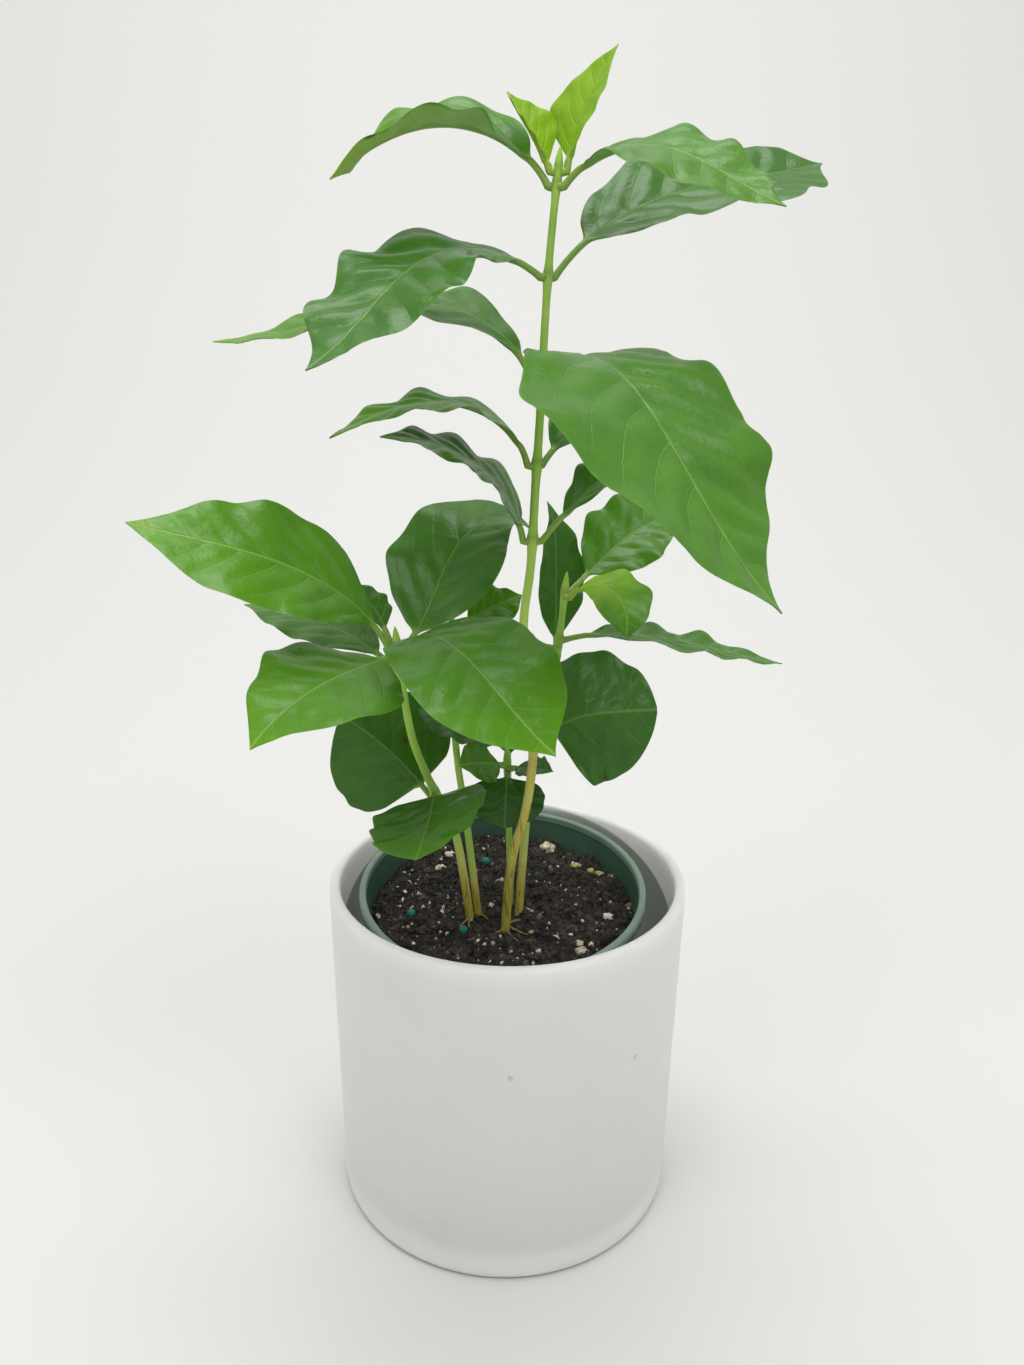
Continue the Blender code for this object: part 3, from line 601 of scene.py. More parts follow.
# The stems: five green seedling stems, woody and brown at the foot, each swollen into a ring at every
# pair of leaves. They stand in the potting mix, and the leaf stalks grow out of them.
STEM_ROOT = 18.0
STEM_STEP = 1.2
STEM_SIDES = 16
NODE_SWELL = 0.28
NODE_LENGTH = 3.5
NODE_RING = 0.16
RING_RISE = 1.5
RING_WIDTH = 0.7
RING_TINT_WIDTH = 1.2
UNEVENNESS = 0.05
UNEVEN_PITCH = 0.3
STEMS = {
    "main": {
        "route": [(-1, -21, 119), (1, -21, 148), (6, -20, 170), (8, -19, 193), (6, -18, 215),
                  (4, -17, 236), (6, -16, 256), (7, -15, 280), (8, -14, 302), (9, -13, 330),
                  (10, -12, 350), (12, -11, 374)],
        "radius": (1.9, 0.9),
        "drawn": (0.88, 1.2),
        "nodes": (195, 264, 288, 312, 344, 369, 373),
        "woody": 270,
    },
    "left": {
        "route": [(-14, -14, 119), (-19, -17, 156), (-25, -20, 172), (-33, -24, 196), (-36, -28, 220),
                  (-37, -30, 233)],
        "radius": (1.6, 1.1),
        "nodes": (173, 175, 223, 229, 230, 231),
        "woody": 165,
    },
    "thin": {
        "route": [(-11, -12, 119), (-16, -8, 160), (-19, -6, 181), (-21, -3, 207), (-21, 0, 230)],
        "radius": (1.4, 1.0),
        "nodes": (230,),
        "woody": 150,
    },
    "right": {
        "route": [(4, -11, 119), (5, -8, 137), (8, 0, 175), (13, 4, 196), (17, 9, 220), (19, 12, 241)],
        "radius": (1.6, 1.0),
        "nodes": (215, 219, 222, 238, 239),
        "woody": 160,
    },
    "short": {
        "route": [(1, -3, 119), (0, -3, 150), (-1, -2, 180)],
        "radius": (1.3, 1.0),
        "nodes": (175, 177, 178, 179),
        "woody": 140,
    },
}

# The seedlings lean forward with their pot, about a point at the soil that sinks a little.
PLANT_LEAN = 2.6
PLANT_PIVOT = (0, -15, 119)
PLANT_SHIFT = (0.3, -0.2, -2.2)
plant_frame = (
    Matrix.Translation(Vector(PLANT_PIVOT) + Vector(PLANT_SHIFT))
    @ Matrix.Rotation(math.radians(PLANT_LEAN), 4, "X")
    @ Matrix.Translation(-Vector(PLANT_PIVOT))
)


def smooth_route(points, step):
    """Points about a step apart on a Catmull-Rom curve through the given ones."""
    path = [Vector(p) for p in points]
    path = [2 * path[0] - path[1]] + path + [2 * path[-1] - path[-2]]
    out = []
    for a, b, c, d in zip(path, path[1:], path[2:], path[3:]):
        pieces = max(1, round((c - b).length / step))
        for i in range(pieces):
            t = i / pieces
            out.append(0.5 * (2 * b + (c - a) * t + (2 * a - 5 * b + 4 * c - d) * t * t
                              + (3 * b - 3 * c + d - a) * t ** 3))
    return out + [path[-2]]


def height_share(stem, height):
    """How far up the stem a height is, from 0 at the soil to 1 at the top."""
    foot, top = stem["route"][0][2], stem["route"][-1][2]
    return min(max((height - foot) / (top - foot), 0), 1)


def near(height, places, width):
    """1 at each of the places, and falling off to both sides of it."""
    return max(math.exp(-((height - place) / width) ** 2) for place in places)


def stem_radius(stem, height):
    """The radius at a height, with a swelling at each leaf node."""
    low, high = stem["radius"]
    radius = low + (high - low) * height_share(stem, height)
    return radius * (1 + NODE_SWELL * near(height, stem["nodes"], NODE_LENGTH))


def ringed_radius(stem, height):
    """The drawn radius, with the thin ridge that the fallen scales leave just above a node."""
    low, high = stem.get("drawn", (1.0, 1.1))
    drawn = low + (high - low) * height_share(stem, height)
    ridge = NODE_RING * near(height - RING_RISE, stem["nodes"], RING_WIDTH)
    uneven = UNEVENNESS * noise.noise(Vector((height * UNEVEN_PITCH, 0, 5)))
    return stem_radius(stem, height) * drawn + ridge + uneven


# Seedling bark: bright green above, and tan with fine brown streaks at the foot.
bark, tree = new_material("green_seedling_bark")
place = add(tree, "TexCoord").outputs["Object"]
age = add(tree, "Attribute", attribute_name="age").outputs["Fac"]
ring = add(tree, "Attribute", attribute_name="node_ring").outputs["Fac"]
drawn_out = add(tree, "VectorMath", {0: place, 1: (1.0, 1.0, 0.09)}, operation="MULTIPLY")
streak = add(tree, "TexNoise", {"Vector": drawn_out, "Scale": 1400.0, "Detail": 3.0})
patch = add(tree, "TexNoise", {"Vector": place, "Scale": 110.0, "Detail": 3.0})
uneven = add(tree, "Math", {0: patch, 1: 0.5, 2: -0.25}, operation="MULTIPLY_ADD")
aged = add(tree, "Math", {0: age, 1: uneven}, operation="ADD", use_clamp=True)
rind = add(tree, "ValToRGB", {0: aged}, [
    (0.0, "92C446"),
    (0.3, "B4D060"),
    (0.5, "CFCE72"),
    (0.7, "C4BA52"),
    (1.0, "B4AA46"),
])
woody = add(tree, "MapRange", {0: aged, 1: 0.5, 2: 0.75, 3: 0.0, 4: 0.7})
grainy = add(tree, "MapRange", {0: streak, 1: 0.5, 2: 0.62})
brown_share = add(tree, "Math", {0: woody, 1: grainy}, operation="MULTIPLY")
rind = add(tree, "Mix", {0: brown_share, 6: rind, 7: linear("7A5A34")}, data_type="RGBA")
ring_share = add(tree, "Math", {0: ring, 1: 0.4}, operation="MULTIPLY")
rind = add(tree, "Mix", {0: ring_share, 6: rind, 7: linear("5E7030")}, data_type="RGBA")
relief = add(tree, "Bump", {"Height": streak, "Distance": 0.12 * MM, "Strength": 0.6})
bark_shader = add(tree, "BsdfPrincipled", {
    "Base Color": rind,
    "Roughness": 0.5,
    "Normal": relief,
})
add(tree, "OutputMaterial", {"Surface": bark_shader})


def tube(path, radii, sides):
    """Points and faces of a round rod along a path, closed by a fan at each end."""
    side = Vector((1, 0, 0))
    angles = [math.tau * k / sides for k in range(sides)]
    rings = []
    for i, (spot, radius) in enumerate(zip(path, radii)):
        along = (path[min(i + 1, len(path) - 1)] - path[max(i - 1, 0)]).normalized()
        side = (side - along * side.dot(along)).normalized()
        across = along.cross(side)
        rings.append([spot + (side * math.cos(a) + across * math.sin(a)) * radius for a in angles])
    return capped_rings(path[0], rings, path[-1])


def give(thing, name, values):
    """Stores one number for each point of a mesh, for its material."""
    layer = thing.data.attributes.new(name, "FLOAT", "POINT")
    layer.data.foreach_set("value", np.asarray(values, np.float32))


BUD_LENGTH = 6.0
BUD_STEPS = 5
GREENING = 0.9
for name, stem in STEMS.items():
    path = smooth_route(stem["route"], STEM_STEP)
    path = [path[0] - Vector((0, 0, STEM_ROOT))] + path
    radii = [ringed_radius(stem, p.z) for p in path]
    tip, tip_radius = path[-1], radii[-1]
    upward = (path[-1] - path[-3]).normalized()
    for k in range(1, BUD_STEPS + 1):
        share = k / BUD_STEPS
        path.append(tip + upward * BUD_LENGTH * share)
        radii.append(tip_radius * math.sqrt(1.02 - share ** 2) * (1 - 0.5 * share))
    points, faces = tube(path, radii, STEM_SIDES)
    rod = smooth_mesh("seedling_stem_" + name, [plant_frame @ p for p in points], faces, bark)
    soil_line = stem["route"][0][2]
    shares = [(p.z - soil_line) / (stem["woody"] - soil_line) for p in points]
    give(rod, "age", [1 - min(max(share, 0), 1) * GREENING for share in shares])
    give(rod, "node_ring", [near(p.z - RING_RISE, stem["nodes"], RING_TINT_WIDTH) for p in points])
    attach(rod, "root")
    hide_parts("stem_" + name)

# Fine roots that show at the feet of the stems, bare and tan, each dipping into the mix.
ROOT_RADIUS = 0.28
ROOT_SIDES = 8
ROOT_STEP = 0.8
ROOT_RISES = (1.6, 0.9, -0.8)
ROOTS = [
    ((-1, -22), (-5, -25), (-8, -24)),
    ((0, -23), (2, -27), (5, -28)),
    ((1, -21), (6, -23), (9, -22)),
    ((0, -20), (4, -18), (7, -19)),
    ((-13, -15), (-17, -19), (-20, -23)),
    ((-14, -16), (-14, -20), (-12, -24)),
    ((-12, -13), (-8, -14), (-6, -17)),
]
# Bare root: plain tan and dull.
rootlet, tree = new_material("bare_tan_root")
rootlet_shader = add(tree, "BsdfPrincipled", {
    "Base Color": linear("96804F"),
    "Roughness": 0.6,
})
add(tree, "OutputMaterial", {"Surface": rootlet_shader})
for i, spots in enumerate(ROOTS):
    route = [(x, y, soil_height(x, y) + rise) for (x, y), rise in zip(spots, ROOT_RISES)]
    path = smooth_route(route, ROOT_STEP)
    radii = [ROOT_RADIUS * (1.5 - k / len(path)) for k in range(len(path))]
    points, faces = tube(path, radii, ROOT_SIDES)
    root = smooth_mesh("fine_root_%d" % i, points, faces, rootlet)
    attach(root, "root")

# The leaves: coffee leaves on short stalks, in pairs up each stem. The blade is thin, glossy and dark
# above and paler and duller below, sunken along its side veins and waved along its margin.
BLADE_THICKNESS = 0.4
RIB_DEPTH = 1.3
RIB_WIDTH = 0.9
RIB_TAPER = 1.15
STALK_RADIUS = 1.0
STALK_THICKNESS = 1.9
STALK_FLARE = 0.45
FLARE_LENGTH = 1.6
STALK_FADE = 0.06
ROOT_REACH = 0.8
LEAF_GAP = 0.5
TIP_HALF_WIDTH = 0.18
MARGIN_WAVES = 4
MARGIN_LAG = 1.2
MARGIN_TAPER = 12
RUFFLE_LENGTH = 9.0
RUFFLE_WIDTH = 0.02
CRINKLE_LENGTH = 7.0
RIB_CLEAR = 3.0
PUCKER_LEVEL = 0.6
PUCKER_SPACING = 9.0
ROOT_ROWS = 4
STALK_ROWS = 6
BLADE_ROWS = 84
SMALL_BLADE_ROWS = 48
SMALL_LEAF = 50.0
HALF_COLUMNS = 14
COLUMN_CROWDING = 1.5
VEIN_SLANT = 0.55
VEIN_BEND = 1.0
VEIN_STAGGER = 0.35
VEIN_WANDER = 0.3
WANDER_LENGTH = 22.0
LEAST_PAIRS = 5
ROUND_LEAF_PAIRS = 4
PAIR_LENGTH = 25.0
SHORT_BLADE = 40.0
VEINLESS_END = 0.8
SEED_STEP = 0.37
MARKS = ("rib_distance", "margin", "vein_phase", "stalk_part", "youth", "blemish")
FULL_PUCKER_LENGTH = 85.0
FRILL = 1.2

# Outlines: how wide a blade is at each share of its length, from the stalk to the tip
OUTLINES = {
    "oval": [(0, 0.04), (0.08, 0.30), (0.2, 0.68), (0.34, 0.93), (0.47, 1), (0.62, 0.91), (0.76, 0.66),
             (0.88, 0.33), (0.95, 0.13), (1, 0)],
    "broad": [(0, 0.05), (0.08, 0.40), (0.2, 0.73), (0.35, 0.93), (0.5, 1), (0.65, 0.98), (0.78, 0.8),
              (0.88, 0.48), (0.95, 0.18), (1, 0)],
    "round": [(0, 0.1), (0.04, 0.5), (0.12, 0.8), (0.27, 0.97), (0.45, 1), (0.62, 0.95), (0.79, 0.78),
              (0.9, 0.52), (0.97, 0.25), (1, 0.05)],
}


def leaf(name, height, length, width, youth, **shape):
    """One leaf row. Heading, climb, roll, fold and youth are one value or three, from stalk to tip.

    The stem is the name's first word, unless it is given. A lobe is (side, share of the length, added
    share of the width, spread). A blemish is a brown spot: (side and share of the half width, share of
    the length, radius).
    """
    size = min(length / FULL_PUCKER_LENGTH, 1)
    row = {"name": name, "height": height, "length": length, "width": width, "youth": youth,
           "stem": name.split("_")[0], "stalk": 8, "outline": "oval", "roll": 0, "fold": 6, "wave": 1.2,
           "ripple": 0.05, "crinkle": 0.3, "pucker": size, "frill": FRILL * size, "lobes": (),
           "blemish": None}
    return {**row, **shape}


LEAVES = [
    leaf("main_1_left", 369, 77, 36, (0.5, 0.62, 0.9), heading=(-190, -150, -150), climb=(62, -7, -38),
         roll=(46, 8, -38), fold=(16, 14, 4), blemish=(-0.9, 0.8, 1.3),
         lobes=((1, 0.1, 0.6, 0.07), (-1, 0.75, -0.35, 0.16), (1, 0.75, 0.35, 0.12))),
    leaf("main_1_right", 369, 77, 32, 0.53, stalk=6, heading=(-20, -42, -35), climb=(52, -17, -20),
         roll=(-12, -20, -25), fold=4, wave=1.5,
         lobes=((-1, 0.12, 0.4, 0.1), (1, 0.15, 0.6, 0.08), (-1, 0.6, -0.2, 0.12))),
    leaf("main_2_left", 344, 102, 39, 0.35, stalk=7, heading=(-170, -122, -128), climb=(38, -25, -22),
         roll=(20, 10, 6), fold=5, wave=2,
         lobes=((-1, 0.17, 0.5, 0.08), (-1, 0.36, -0.12, 0.06), (1, 0.57, -0.1, 0.08),
                (1, 0.8, 0.25, 0.1))),
    leaf("main_2_right", 344, 108, 40, 0.3, stalk=14, outline="broad", heading=(35, 25, 22),
         climb=(50, 15, 14), roll=(-25, -28, -28), fold=10, wave=1.6,
         lobes=((1, 0.72, 0.35, 0.08), (1, 0.9, 1.0, 0.07), (-1, 0.93, 0.6, 0.05))),
    leaf("main_3_left", 312, 120, 38, (0.45, 0.5, 0.75), heading=(155, 166, 182), climb=(73, -8, 1),
         roll=(15, 12, 10), fold=5, wave=2, lobes=((1, 0.88, 0.5, 0.07), (-1, 0.9, 0.6, 0.06))),
    leaf("main_3_right", 312, 129, 60, (0.42, 0.46, 0.52), stalk=7, outline="broad",
         heading=(-62, -60, -22), climb=(46, -36, -42), fold=6, wave=2, ripple=0.02,
         lobes=((1, 0.08, -0.35, 0.06), (1, 0.16, 0.06, 0.04), (1, 0.24, -0.06, 0.04),
                (1, 0.46, 0.32, 0.12), (1, 0.64, 0.08, 0.05), (1, 0.86, 0.12, 0.08),
                (-1, 0.16, 0.14, 0.06), (-1, 0.34, -0.1, 0.09), (-1, 0.56, -0.08, 0.04),
                (-1, 0.74, -0.06, 0.05), (-1, 0.88, -0.22, 0.06))),
    leaf("main_4_left", 288, 73, 30, 0.62, stalk=6, heading=(-173, -165, -158), climb=(78, 2, -26),
         roll=(8, 4, 4), fold=2, blemish=(0.0, 0.99, 0.9),
         lobes=((1, 0.15, 0.7, 0.12), (1, 0.7, 0.15, 0.15))),
    leaf("main_4_right", 288, 62, 30, 0.35, stalk=6, heading=(50, 30, 30), climb=(42, 22, -5),
         roll=-20, fold=16, wave=1),
    leaf("main_5_left", 264, 64, 30, 0.5, stalk=4, outline="broad", heading=(-172, -154, -157),
         climb=(82, 34, 2), roll=(30, 18, 8), fold=2,
         lobes=((1, 0.18, 0.7, 0.14), (-1, 0.3, -0.15, 0.15))),
    leaf("main_5_right", 264, 60, 22, 0.4, stalk=10, heading=(5, 32, 25), climb=(52, 28, -15),
         roll=(-5, -5, 0), fold=12, wave=1),
    leaf("main_seed_right", 195, 43, 46, 0.2, stalk=5, outline="round", heading=(-20, -12, -8),
         climb=(60, 16, 8), roll=(-45, -62, -60), fold=-12, wave=0.8, crinkle=0.8, ripple=0.01,
         frill=0.3, lobes=((1, 0.14, 0.12, 0.14), (-1, 0.12, 0.2, 0.12), (-1, 0.75, -0.14, 0.12))),
    leaf("main_seed_left", 195, 38, 26, 0.2, stalk=6, outline="round", heading=(180, 178, 176),
         climb=(25, 14, 14), roll=(10, 16, 16), fold=4, crinkle=0.6, ripple=0.02, frill=0.3),
    leaf("left_front_right", 231, 84, 45, (0.45, 0.5, 0.74), stalk=5, outline="broad", pucker=0.5,
         heading=(-52, -54, -44), climb=(50, -17, -20), roll=(-4, -10, -10), fold=5, wave=0.8,
         ripple=0.02),
    leaf("left_long", 231, 91, 43, (0.56, 0.6, 0.74), heading=(-170, -160, -178), climb=(66, 25, 16),
         roll=(25, 35, 30), fold=5, pucker=0.6, wave=0.8, ripple=0.03,
         lobes=((1, 0.3, 0.08, 0.2), (-1, 0.75, 0.12, 0.12))),
    leaf("left_low", 223, 66, 30, 0.5, pucker=0.4, heading=(140, 153, 157), climb=(30, 10, 0),
         roll=(10, 10, 0), fold=5, wave=1),
    leaf("left_front_left", 229, 66, 46, (0.54, 0.57, 0.72), stalk=5, heading=(-124, -121, -132),
         climb=(0, -4, -42), roll=(10, 12, 4), fold=4, pucker=0.5, wave=0.8, ripple=0.02,
         lobes=((1, 0.65, -0.15, 0.15), (-1, 0.4, 0.1, 0.15))),
    leaf("left_back", 230, 78, 44, 0.4, heading=(62, 52, 5), climb=(10, 47, -50), roll=-10, fold=8,
         pucker=0.5, wave=0.8, ripple=0.03),
    leaf("left_small", 229, 30, 14, 0.35, heading=(130, 135, 140), climb=(60, 40, 20), fold=10,
         wave=0.4, crinkle=0.1),
    leaf("left_seed_back", 173, 43, 47, 0.3, stalk=5, outline="round", heading=(152, 162, 174),
         climb=(45, 38, 30), roll=(30, 55, 55), fold=-14, wave=0.8, crinkle=0.6, ripple=0.01,
         frill=0.3, blemish=(0.3, 0.4, 1.1)),
    leaf("left_seed_front", 175, 38, 41, (0.35, 0.45, 0.65), stalk=2, outline="round",
         heading=(-88, -95, -102), climb=(10, -8, -15), roll=(-15, -20, -20), fold=6, wave=1,
         crinkle=0.6, ripple=0.02, frill=0.4),
    leaf("thin_right", 230, 27, 19, 0.6, stalk=4, heading=(25, 28, 30), climb=(20, 18, 10),
         roll=(-20, -30, -30), fold=10),
    leaf("right_tall", 215, 60, 22, 0.35, stalk=8, heading=(90, 100, 150), climb=(20, 82, 60), fold=10,
         lobes=((-1, 0.5, -0.4, 0.4),)),
    leaf("right_back", 239, 57, 32, 0.5, stalk=10, heading=(46, 30, 28), climb=(25, 32, -10),
         roll=(-30, -35, -35), fold=10, wave=1, pucker=0.35),
    leaf("right_hook", 238, 37, 26, (1.0, 0.75, 0.5), stalk=4, heading=(-40, -35, -110),
         climb=(58, -24, -92), roll=(0, -10, 0), fold=8, wave=0.6),
    leaf("right_long", 222, 90, 27, 0.45, heading=(20, 12, 12), climb=(10, -14, -12), roll=-3,
         wave=1.6, lobes=((1, 0.35, 0.35, 0.25), (-1, 0.4, -0.3, 0.3))),
    leaf("right_low", 219, 28, 20, 0.2, stalk=4, heading=160, climb=(10, -15, -25), fold=10),
    leaf("short_left", 178, 19, 19, (0.45, 0.5, 0.75), stalk=1, heading=(-150, -146, -140),
         climb=(24, 12, 5), roll=(20, 35, 35), fold=8, wave=0.6),
    leaf("short_seed", 175, 21, 28, 0.1, stalk=2, outline="round", heading=(-92, -94, -96),
         climb=(-10, -58, -78), fold=-5, wave=0.6, crinkle=0.5, ripple=0.01, frill=0.2),
    leaf("short_back", 179, 20, 16, 0.3, stalk=2, heading=(85, 90, 90), climb=(40, 35, 20), fold=15,
         wave=0.5),
    leaf("short_right", 177, 21, 12, 0.25, stalk=3, heading=(-50, -44, -34), climb=(25, 15, 5),
         roll=-20, fold=10, wave=0.5),
    leaf("top_right", 373, 36, 17, 0.9, stem="main", stalk=3, heading=(0, 8, -5), climb=(84, 66, 56),
         roll=(-20, -30, -30), fold=14, wave=0.3, ripple=0,
         lobes=((-1, 0.25, 0.5, 0.25), (1, 0.3, -0.2, 0.25))),
    leaf("top_left", 373, 24, 14, 0.95, stem="main", stalk=2, heading=(190, 185, 180),
         climb=(74, 54, 58), roll=(30, 35, 30), fold=25, wave=0.3, ripple=0,
         lobes=((1, 0.35, 0.4, 0.25), (-1, 0.4, -0.3, 0.25))),
]

# Waxy leaf: a cool sheen above, a dull underside, and yellow light through the blade.
waxy_leaf, tree = new_material("waxy_coffee_leaf")
place = add(tree, "TexCoord").outputs["Object"]
youth, under, rib_distance, margin, phase, spacing, stalk_share, blemish = [
    add(tree, "Attribute", attribute_name=name).outputs["Fac"]
    for name in ("youth", "underside", "rib_distance", "margin", "vein_phase", "vein_spacing",
                 "stalk_part", "blemish")
]

whole = add(tree, "Math", {0: phase}, operation="ROUND")
off_vein = add(tree, "Math", {0: phase, 1: whole}, operation="SUBTRACT")
off_vein = add(tree, "Math", {0: off_vein}, operation="ABSOLUTE")
vein_gap = add(tree, "Math", {0: off_vein, 1: spacing}, operation="MULTIPLY")
side_vein = add(tree, "MapRange", {0: vein_gap, 1: 0.1, 2: 0.5, 3: 1.0, 4: 0.0},
                interpolation_type="SMOOTHSTEP")
fade = add(tree, "MapRange", {0: margin, 1: 0.6, 2: 0.97, 3: 1.0, 4: 0.0})
side_vein = add(tree, "Math", {0: side_vein, 1: fade}, operation="MULTIPLY")
main_vein = add(tree, "MapRange", {0: rib_distance, 1: 0.2, 2: 0.6, 3: 1.0, 4: 0.0},
                interpolation_type="SMOOTHSTEP")

mottle = add(tree, "TexNoise", {"Vector": place, "Scale": 90.0, "Detail": 4.0})
age = add(tree, "Math", {0: mottle, 1: 0.3, 2: -0.15}, operation="MULTIPLY_ADD")
age = add(tree, "Math", {0: age, 1: youth}, operation="ADD", use_clamp=True)
green = add(tree, "ValToRGB", {0: age}, [
    (0.0, "2B5A1C"),
    (0.35, "437A22"),
    (0.7, "5F9C14"),
    (1.0, "A3D01C"),
])
vein_green = add(tree, "ValToRGB", {0: youth}, [(0.0, "5F8F3E"), (0.5, "85B552"), (1.0, "C0DC60")])
pale_green = add(tree, "ValToRGB", {0: youth}, [(0.0, "5C8A42"), (0.5, "82B058"), (1.0, "B4D450")])
vein_share = add(tree, "Math", {0: side_vein, 1: 0.16}, operation="MULTIPLY")
rib_share = add(tree, "Math", {0: main_vein, 1: 0.6}, operation="MULTIPLY")
net = add(tree, "TexVoronoi", {"Vector": place, "Scale": 420.0}, feature="DISTANCE_TO_EDGE")
net_line = add(tree, "MapRange", {0: net, 1: 0.0, 2: 0.12, 3: 0.08, 4: 0.0})
edge = add(tree, "MapRange", {0: margin, 1: 0.975, 2: 1.0, 3: 0.0, 4: 0.3})
below = add(tree, "Mix", {0: rib_share, 6: pale_green, 7: linear("B4C98C")}, data_type="RGBA")
dead = add(tree, "MapRange", {0: blemish, 1: -0.5, 2: 0.3, 3: 0.0, 4: 0.85})
stalk_green = add(tree, "ValToRGB", {0: youth}, [(0.0, "7DA052"), (1.0, "A9CC55")])
layers = [
    (vein_share, vein_green),
    (rib_share, vein_green),
    (net_line, vein_green),
    (edge, vein_green),
    (under, below),
    (dead, linear("5A4326")),
    (stalk_share, stalk_green),
]
blade = green
for share, tint in layers:
    blade = add(tree, "Mix", {0: share, 6: blade, 7: tint}, data_type="RGBA")

groove = add(tree, "Math", {0: side_vein, 1: -0.25}, operation="MULTIPLY")
ridge = add(tree, "Math", {0: main_vein, 1: -0.3}, operation="MULTIPLY")
heights = add(tree, "Math", {0: groove, 1: ridge}, operation="ADD")
net_rise = add(tree, "Math", {0: net, 1: 0.25}, operation="MULTIPLY")
heights = add(tree, "Math", {0: heights, 1: net_rise}, operation="ADD")
relief = add(tree, "Bump", {"Height": heights, "Distance": 0.6 * MM, "Strength": 0.7})
fine = add(tree, "TexNoise", {"Vector": place, "Scale": 1800.0})
relief = add(tree, "Bump", {"Height": fine, "Distance": 0.05 * MM, "Strength": 0.4, "Normal": relief})
dull = add(tree, "MapRange", {0: under, 1: 0.0, 2: 1.0, 3: 0.32, 4: 0.6})
leaf_shader = add(tree, "BsdfPrincipled", {
    "Base Color": blade,
    "Roughness": dull,
    "IOR": 1.45,
    "Normal": relief,
})
glow_tint = add(tree, "Mix", {0: 0.5, 6: blade, 7: linear("A6CC3A")}, data_type="RGBA")
glow = add(tree, "BsdfTranslucent", {"Color": glow_tint, "Normal": relief})
leaf_shader = add(tree, "MixShader", {0: 0.22, 1: leaf_shader, 2: glow})
add(tree, "OutputMaterial", {"Surface": leaf_shader})


def through(three, t):
    """The smooth run of a value from the stalk, through the middle, to the tip."""
    if not isinstance(three, tuple):
        return three
    start, middle, end = three
    return start * (1 - t) * (1 - 2 * t) + 4 * middle * t * (1 - t) + end * t * (2 * t - 1)


def direction(row, t):
    """The way the midrib points at a share of its length."""
    heading = math.radians(through(row["heading"], t))
    climb = math.radians(through(row["climb"], t))
    flat = math.cos(climb)
    return Vector((math.cos(heading) * flat, math.sin(heading) * flat, math.sin(climb)))


def midrib(row, steps=240):
    """The stem's middle beside the leaf, and points along the midrib from beside the stem to the tip."""
    stem = STEMS[row["stem"]]
    heading = math.radians(through(row["heading"], 0))
    steepness = math.sin(math.radians(through(row["climb"], 0)))
    clear = stem_radius(stem, row["height"]) + abs(steepness) * STALK_THICKNESS / 2 + LEAF_GAP
    outward = Vector((math.cos(heading), math.sin(heading), 0))
    middle = min(smooth_route(stem["route"], 1.0), key=lambda point: abs(point.z - row["height"]))
    path = [middle + outward * clear]
    for i in range(steps):
        path.append(path[-1] + direction(row, (i + 0.5) / steps) * row["length"] / steps)
    return middle, path


def outline_width(name, share):
    """The share of the full width at this share of the blade, on a smooth curve through the points."""
    points = OUTLINES[name]
    k = max(i for i in range(len(points) - 1) if points[i][0] <= share)
    slopes = [(b[1] - a[1]) / (b[0] - a[0]) for a, b in zip(points, points[1:])]
    before = slopes[max(k - 1, 0)]
    after = slopes[min(k + 1, len(slopes) - 1)]
    (x0, w0), (x1, w1) = points[k], points[k + 1]
    step = x1 - x0
    t = (share - x0) / step
    start = (before + slopes[k]) / 2
    end = (slopes[k] + after) / 2
    return (w0 * (1 + 2 * t) * (1 - t) ** 2 + step * start * t * (1 - t) ** 2
            + w1 * t * t * (3 - 2 * t) + step * end * t * t * (t - 1))


def eased(share):
    """A smooth rise from 0 to 1."""
    share = min(max(share, 0), 1)
    return share * share * (3 - 2 * share)


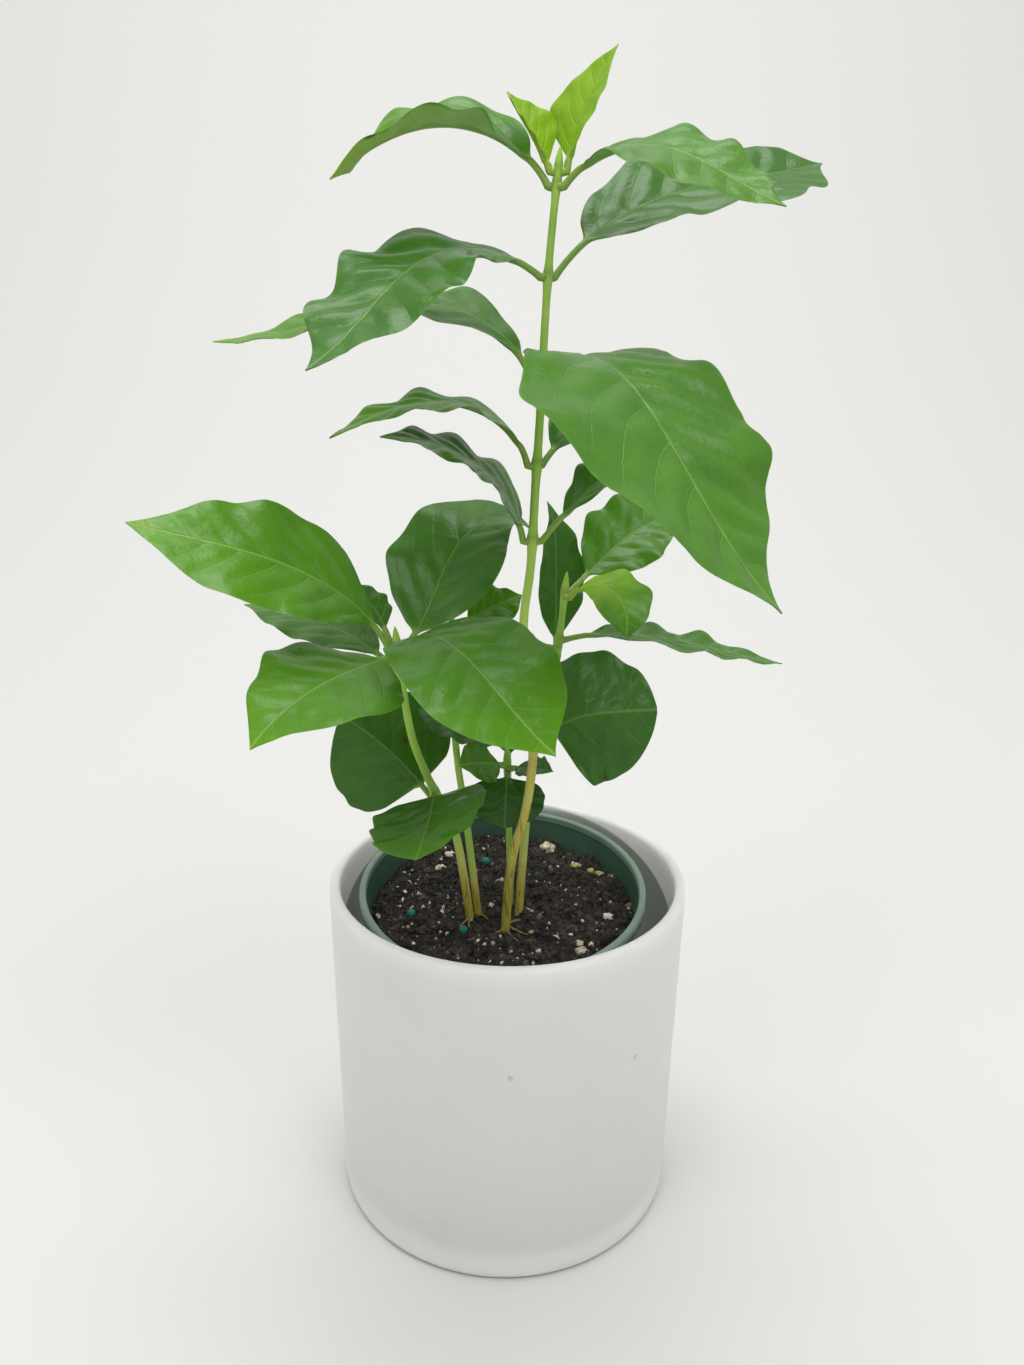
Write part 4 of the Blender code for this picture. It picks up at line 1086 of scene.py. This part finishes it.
def leaf_grid(row):
    """The blade's middle surface with its relief, its half-thicknesses, and what its material reads."""
    middle, path = midrib(row)
    length, stalk = row["length"], row["stalk"] / row["length"]
    blade = length - row["stalk"]
    pairs = LEAST_PAIRS + round(max(blade - SHORT_BLADE, 0) / PAIR_LENGTH)
    if row["outline"] == "round":
        pairs = ROUND_LEAF_PAIRS
    spacing = blade / (pairs + VEINLESS_END)
    seed = sum(map(ord, row["name"])) * SEED_STEP
    blade_rows = BLADE_ROWS if length > SMALL_LEAF else SMALL_BLADE_ROWS
    stations = [(-1 + k / ROOT_ROWS) for k in range(ROOT_ROWS)]
    stations += [stalk * k / STALK_ROWS for k in range(STALK_ROWS)]
    stations += [stalk + (1 - stalk) * k / blade_rows for k in range(blade_rows + 1)]
    columns = [math.copysign((abs(k) / HALF_COLUMNS) ** COLUMN_CROWDING, k)
               for k in range(-HALF_COLUMNS, HALF_COLUMNS + 1)]
    spot_u, spot_share, spot_radius = row["blemish"] or (0, 9, 1)
    spots, tops, bottoms, numbers = [], [], [], []
    for station in stations:
        t = max(station, 0)
        share = min((t - stalk) / (1 - stalk), 1)
        place = t * (len(path) - 1)
        i = min(int(place), len(path) - 2)
        spot = path[i].lerp(path[i + 1], place - i)
        if station < 0:
            spot = spot.lerp(middle, -station * ROOT_REACH)
        along = direction(row, t)
        heading = math.radians(through(row["heading"], t))
        level = Vector((math.sin(heading), -math.cos(heading), 0))
        upward = level.cross(along)
        roll = math.radians(through(row["roll"], t))
        side = level * math.cos(roll) + upward * math.sin(roll)
        face = upward * math.cos(roll) - level * math.sin(roll)
        away = (spot - middle).length
        thick = STALK_RADIUS * (1 + STALK_FLARE * math.exp(-max(away - 1, 0) / FLARE_LENGTH))
        spread = eased(share / STALK_FADE)
        bell = math.sin(math.pi * max(share, 0))
        least = TIP_HALF_WIDTH if share > 0.5 else STALK_RADIUS
        plain = max(row["width"] / 2 * outline_width(row["outline"], max(share, 0)), least)
        fold = math.radians(through(row["fold"], t))
        youth = through(row["youth"], max(share, 0))
        for u in columns:
            beat = math.tau * MARGIN_WAVES * share + math.copysign(MARGIN_LAG, u)
            half = plain * (1 + row["ripple"] * math.sin(beat) * bell)
            ruffle = noise.noise(Vector((share * blade / RUFFLE_LENGTH, 3 * math.copysign(1, u), seed)))
            half *= 1 + RUFFLE_WIDTH * ruffle * bell
            for lobe_side, lobe_place, lobe_width, lobe_spread in row["lobes"]:
                if u * lobe_side > 0:
                    half *= 1 + lobe_width * math.exp(-((share - lobe_place) / lobe_spread) ** 2)
            reach = half * abs(u)
            wave = row["wave"] * bell * abs(u) ** 1.5 * math.sin(beat)
            wave += row["frill"] * bell * abs(u) ** 2.5 * ruffle
            phase = share * blade - VEIN_SLANT * reach - VEIN_BEND * reach * reach / row["width"]
            phase /= spacing
            phase += VEIN_STAGGER if u < 0 else 0.0
            here = Vector((share * blade, u * half, 0))
            phase += VEIN_WANDER * noise.noise(here / WANDER_LENGTH + Vector((0, 0, seed + 7)))
            swell = abs(math.sin(math.pi * phase)) - PUCKER_LEVEL
            swell *= row["pucker"] * spacing / PUCKER_SPACING * (1 - abs(u) ** 6) * max(bell, 0) ** 0.4
            fault = noise.fractal(here / CRINKLE_LENGTH + Vector((0, 0, seed)), 1.0, 2.0, 3)
            quilt = min(1, reach / RIB_CLEAR) * (swell + row["crinkle"] * fault * min(1, bell * 2))
            blade_spot = side * half * u * math.cos(fold) + face * (reach * math.sin(fold) + wave + quilt)
            turn = u * math.pi / 2
            rod_spot = side * thick * math.sin(turn)
            spots.append(plant_frame @ (spot + rod_spot.lerp(blade_spot, spread)))
            rod = thick * math.cos(turn)
            rib_width = RIB_WIDTH * (RIB_TAPER - share)
            rib = RIB_DEPTH * (1 - max(share, 0)) ** 0.8 * math.exp(-(reach / rib_width) ** 2)
            leafy = BLADE_THICKNESS / 2 * (1 - abs(u) ** MARGIN_TAPER)
            tops.append(rod * (1 - spread) + leafy * spread)
            bottoms.append(rod * (1 - spread) + (leafy + rib) * spread)
            off_spot = math.hypot((share - spot_share) * blade, (u - spot_u) * plain)
            numbers.append((reach, abs(u) * spread, phase, 1 - spread, youth, spot_radius - off_spot))
    shape = (len(stations), len(columns))
    spots = np.array(spots).reshape(shape + (3,))
    marks = dict(zip(MARKS, np.array(numbers).T.reshape((-1,) + shape)))
    return spots, np.array(tops).reshape(shape), np.array(bottoms).reshape(shape), marks, spacing


def leaf_piece(row):
    """Upper and lower skin of one leaf, joined along the margins and closed at the foot and the tip."""
    middle, tops, bottoms, marks, spacing = leaf_grid(row)
    rows, columns = tops.shape
    normal = np.cross(np.gradient(middle, axis=1), np.gradient(middle, axis=0))
    normal /= np.linalg.norm(normal, axis=2, keepdims=True) + 1e-9
    upper = middle + normal * tops[..., None]
    lower = middle - normal * bottoms[..., None]
    inner = slice(1, columns - 1)
    points = np.concatenate([upper.reshape(-1, 3), lower[:, inner].reshape(-1, 3)])
    top = np.arange(rows * columns).reshape(rows, columns)
    low = top.copy()
    low[:, inner] = rows * columns + np.arange(rows * (columns - 2)).reshape(rows, columns - 2)
    faces = []
    for r in range(rows - 1):
        for c in range(columns - 1):
            faces.append((top[r, c], top[r, c + 1], top[r + 1, c + 1], top[r + 1, c]))
            faces.append((low[r, c], low[r + 1, c], low[r + 1, c + 1], low[r, c + 1]))
    faces.append((*top[0, ::-1], *low[0, inner]))
    faces.append((*top[-1], *low[-1, inner][::-1]))
    faces = [tuple(int(v) for v in face) for face in faces]
    blade = smooth_mesh("coffee_leaf_" + row["name"], points, faces, waxy_leaf, sharp=80)
    for name, values in marks.items():
        give(blade, name, np.concatenate([values.ravel(), values[:, inner].ravel()]))
    give(blade, "underside", np.arange(len(points)) >= rows * columns)
    give(blade, "vein_spacing", np.full(len(points), spacing))
    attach(blade, "root")
    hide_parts("leaf_" + row["name"])


for row in LEAVES:
    leaf_piece(row)
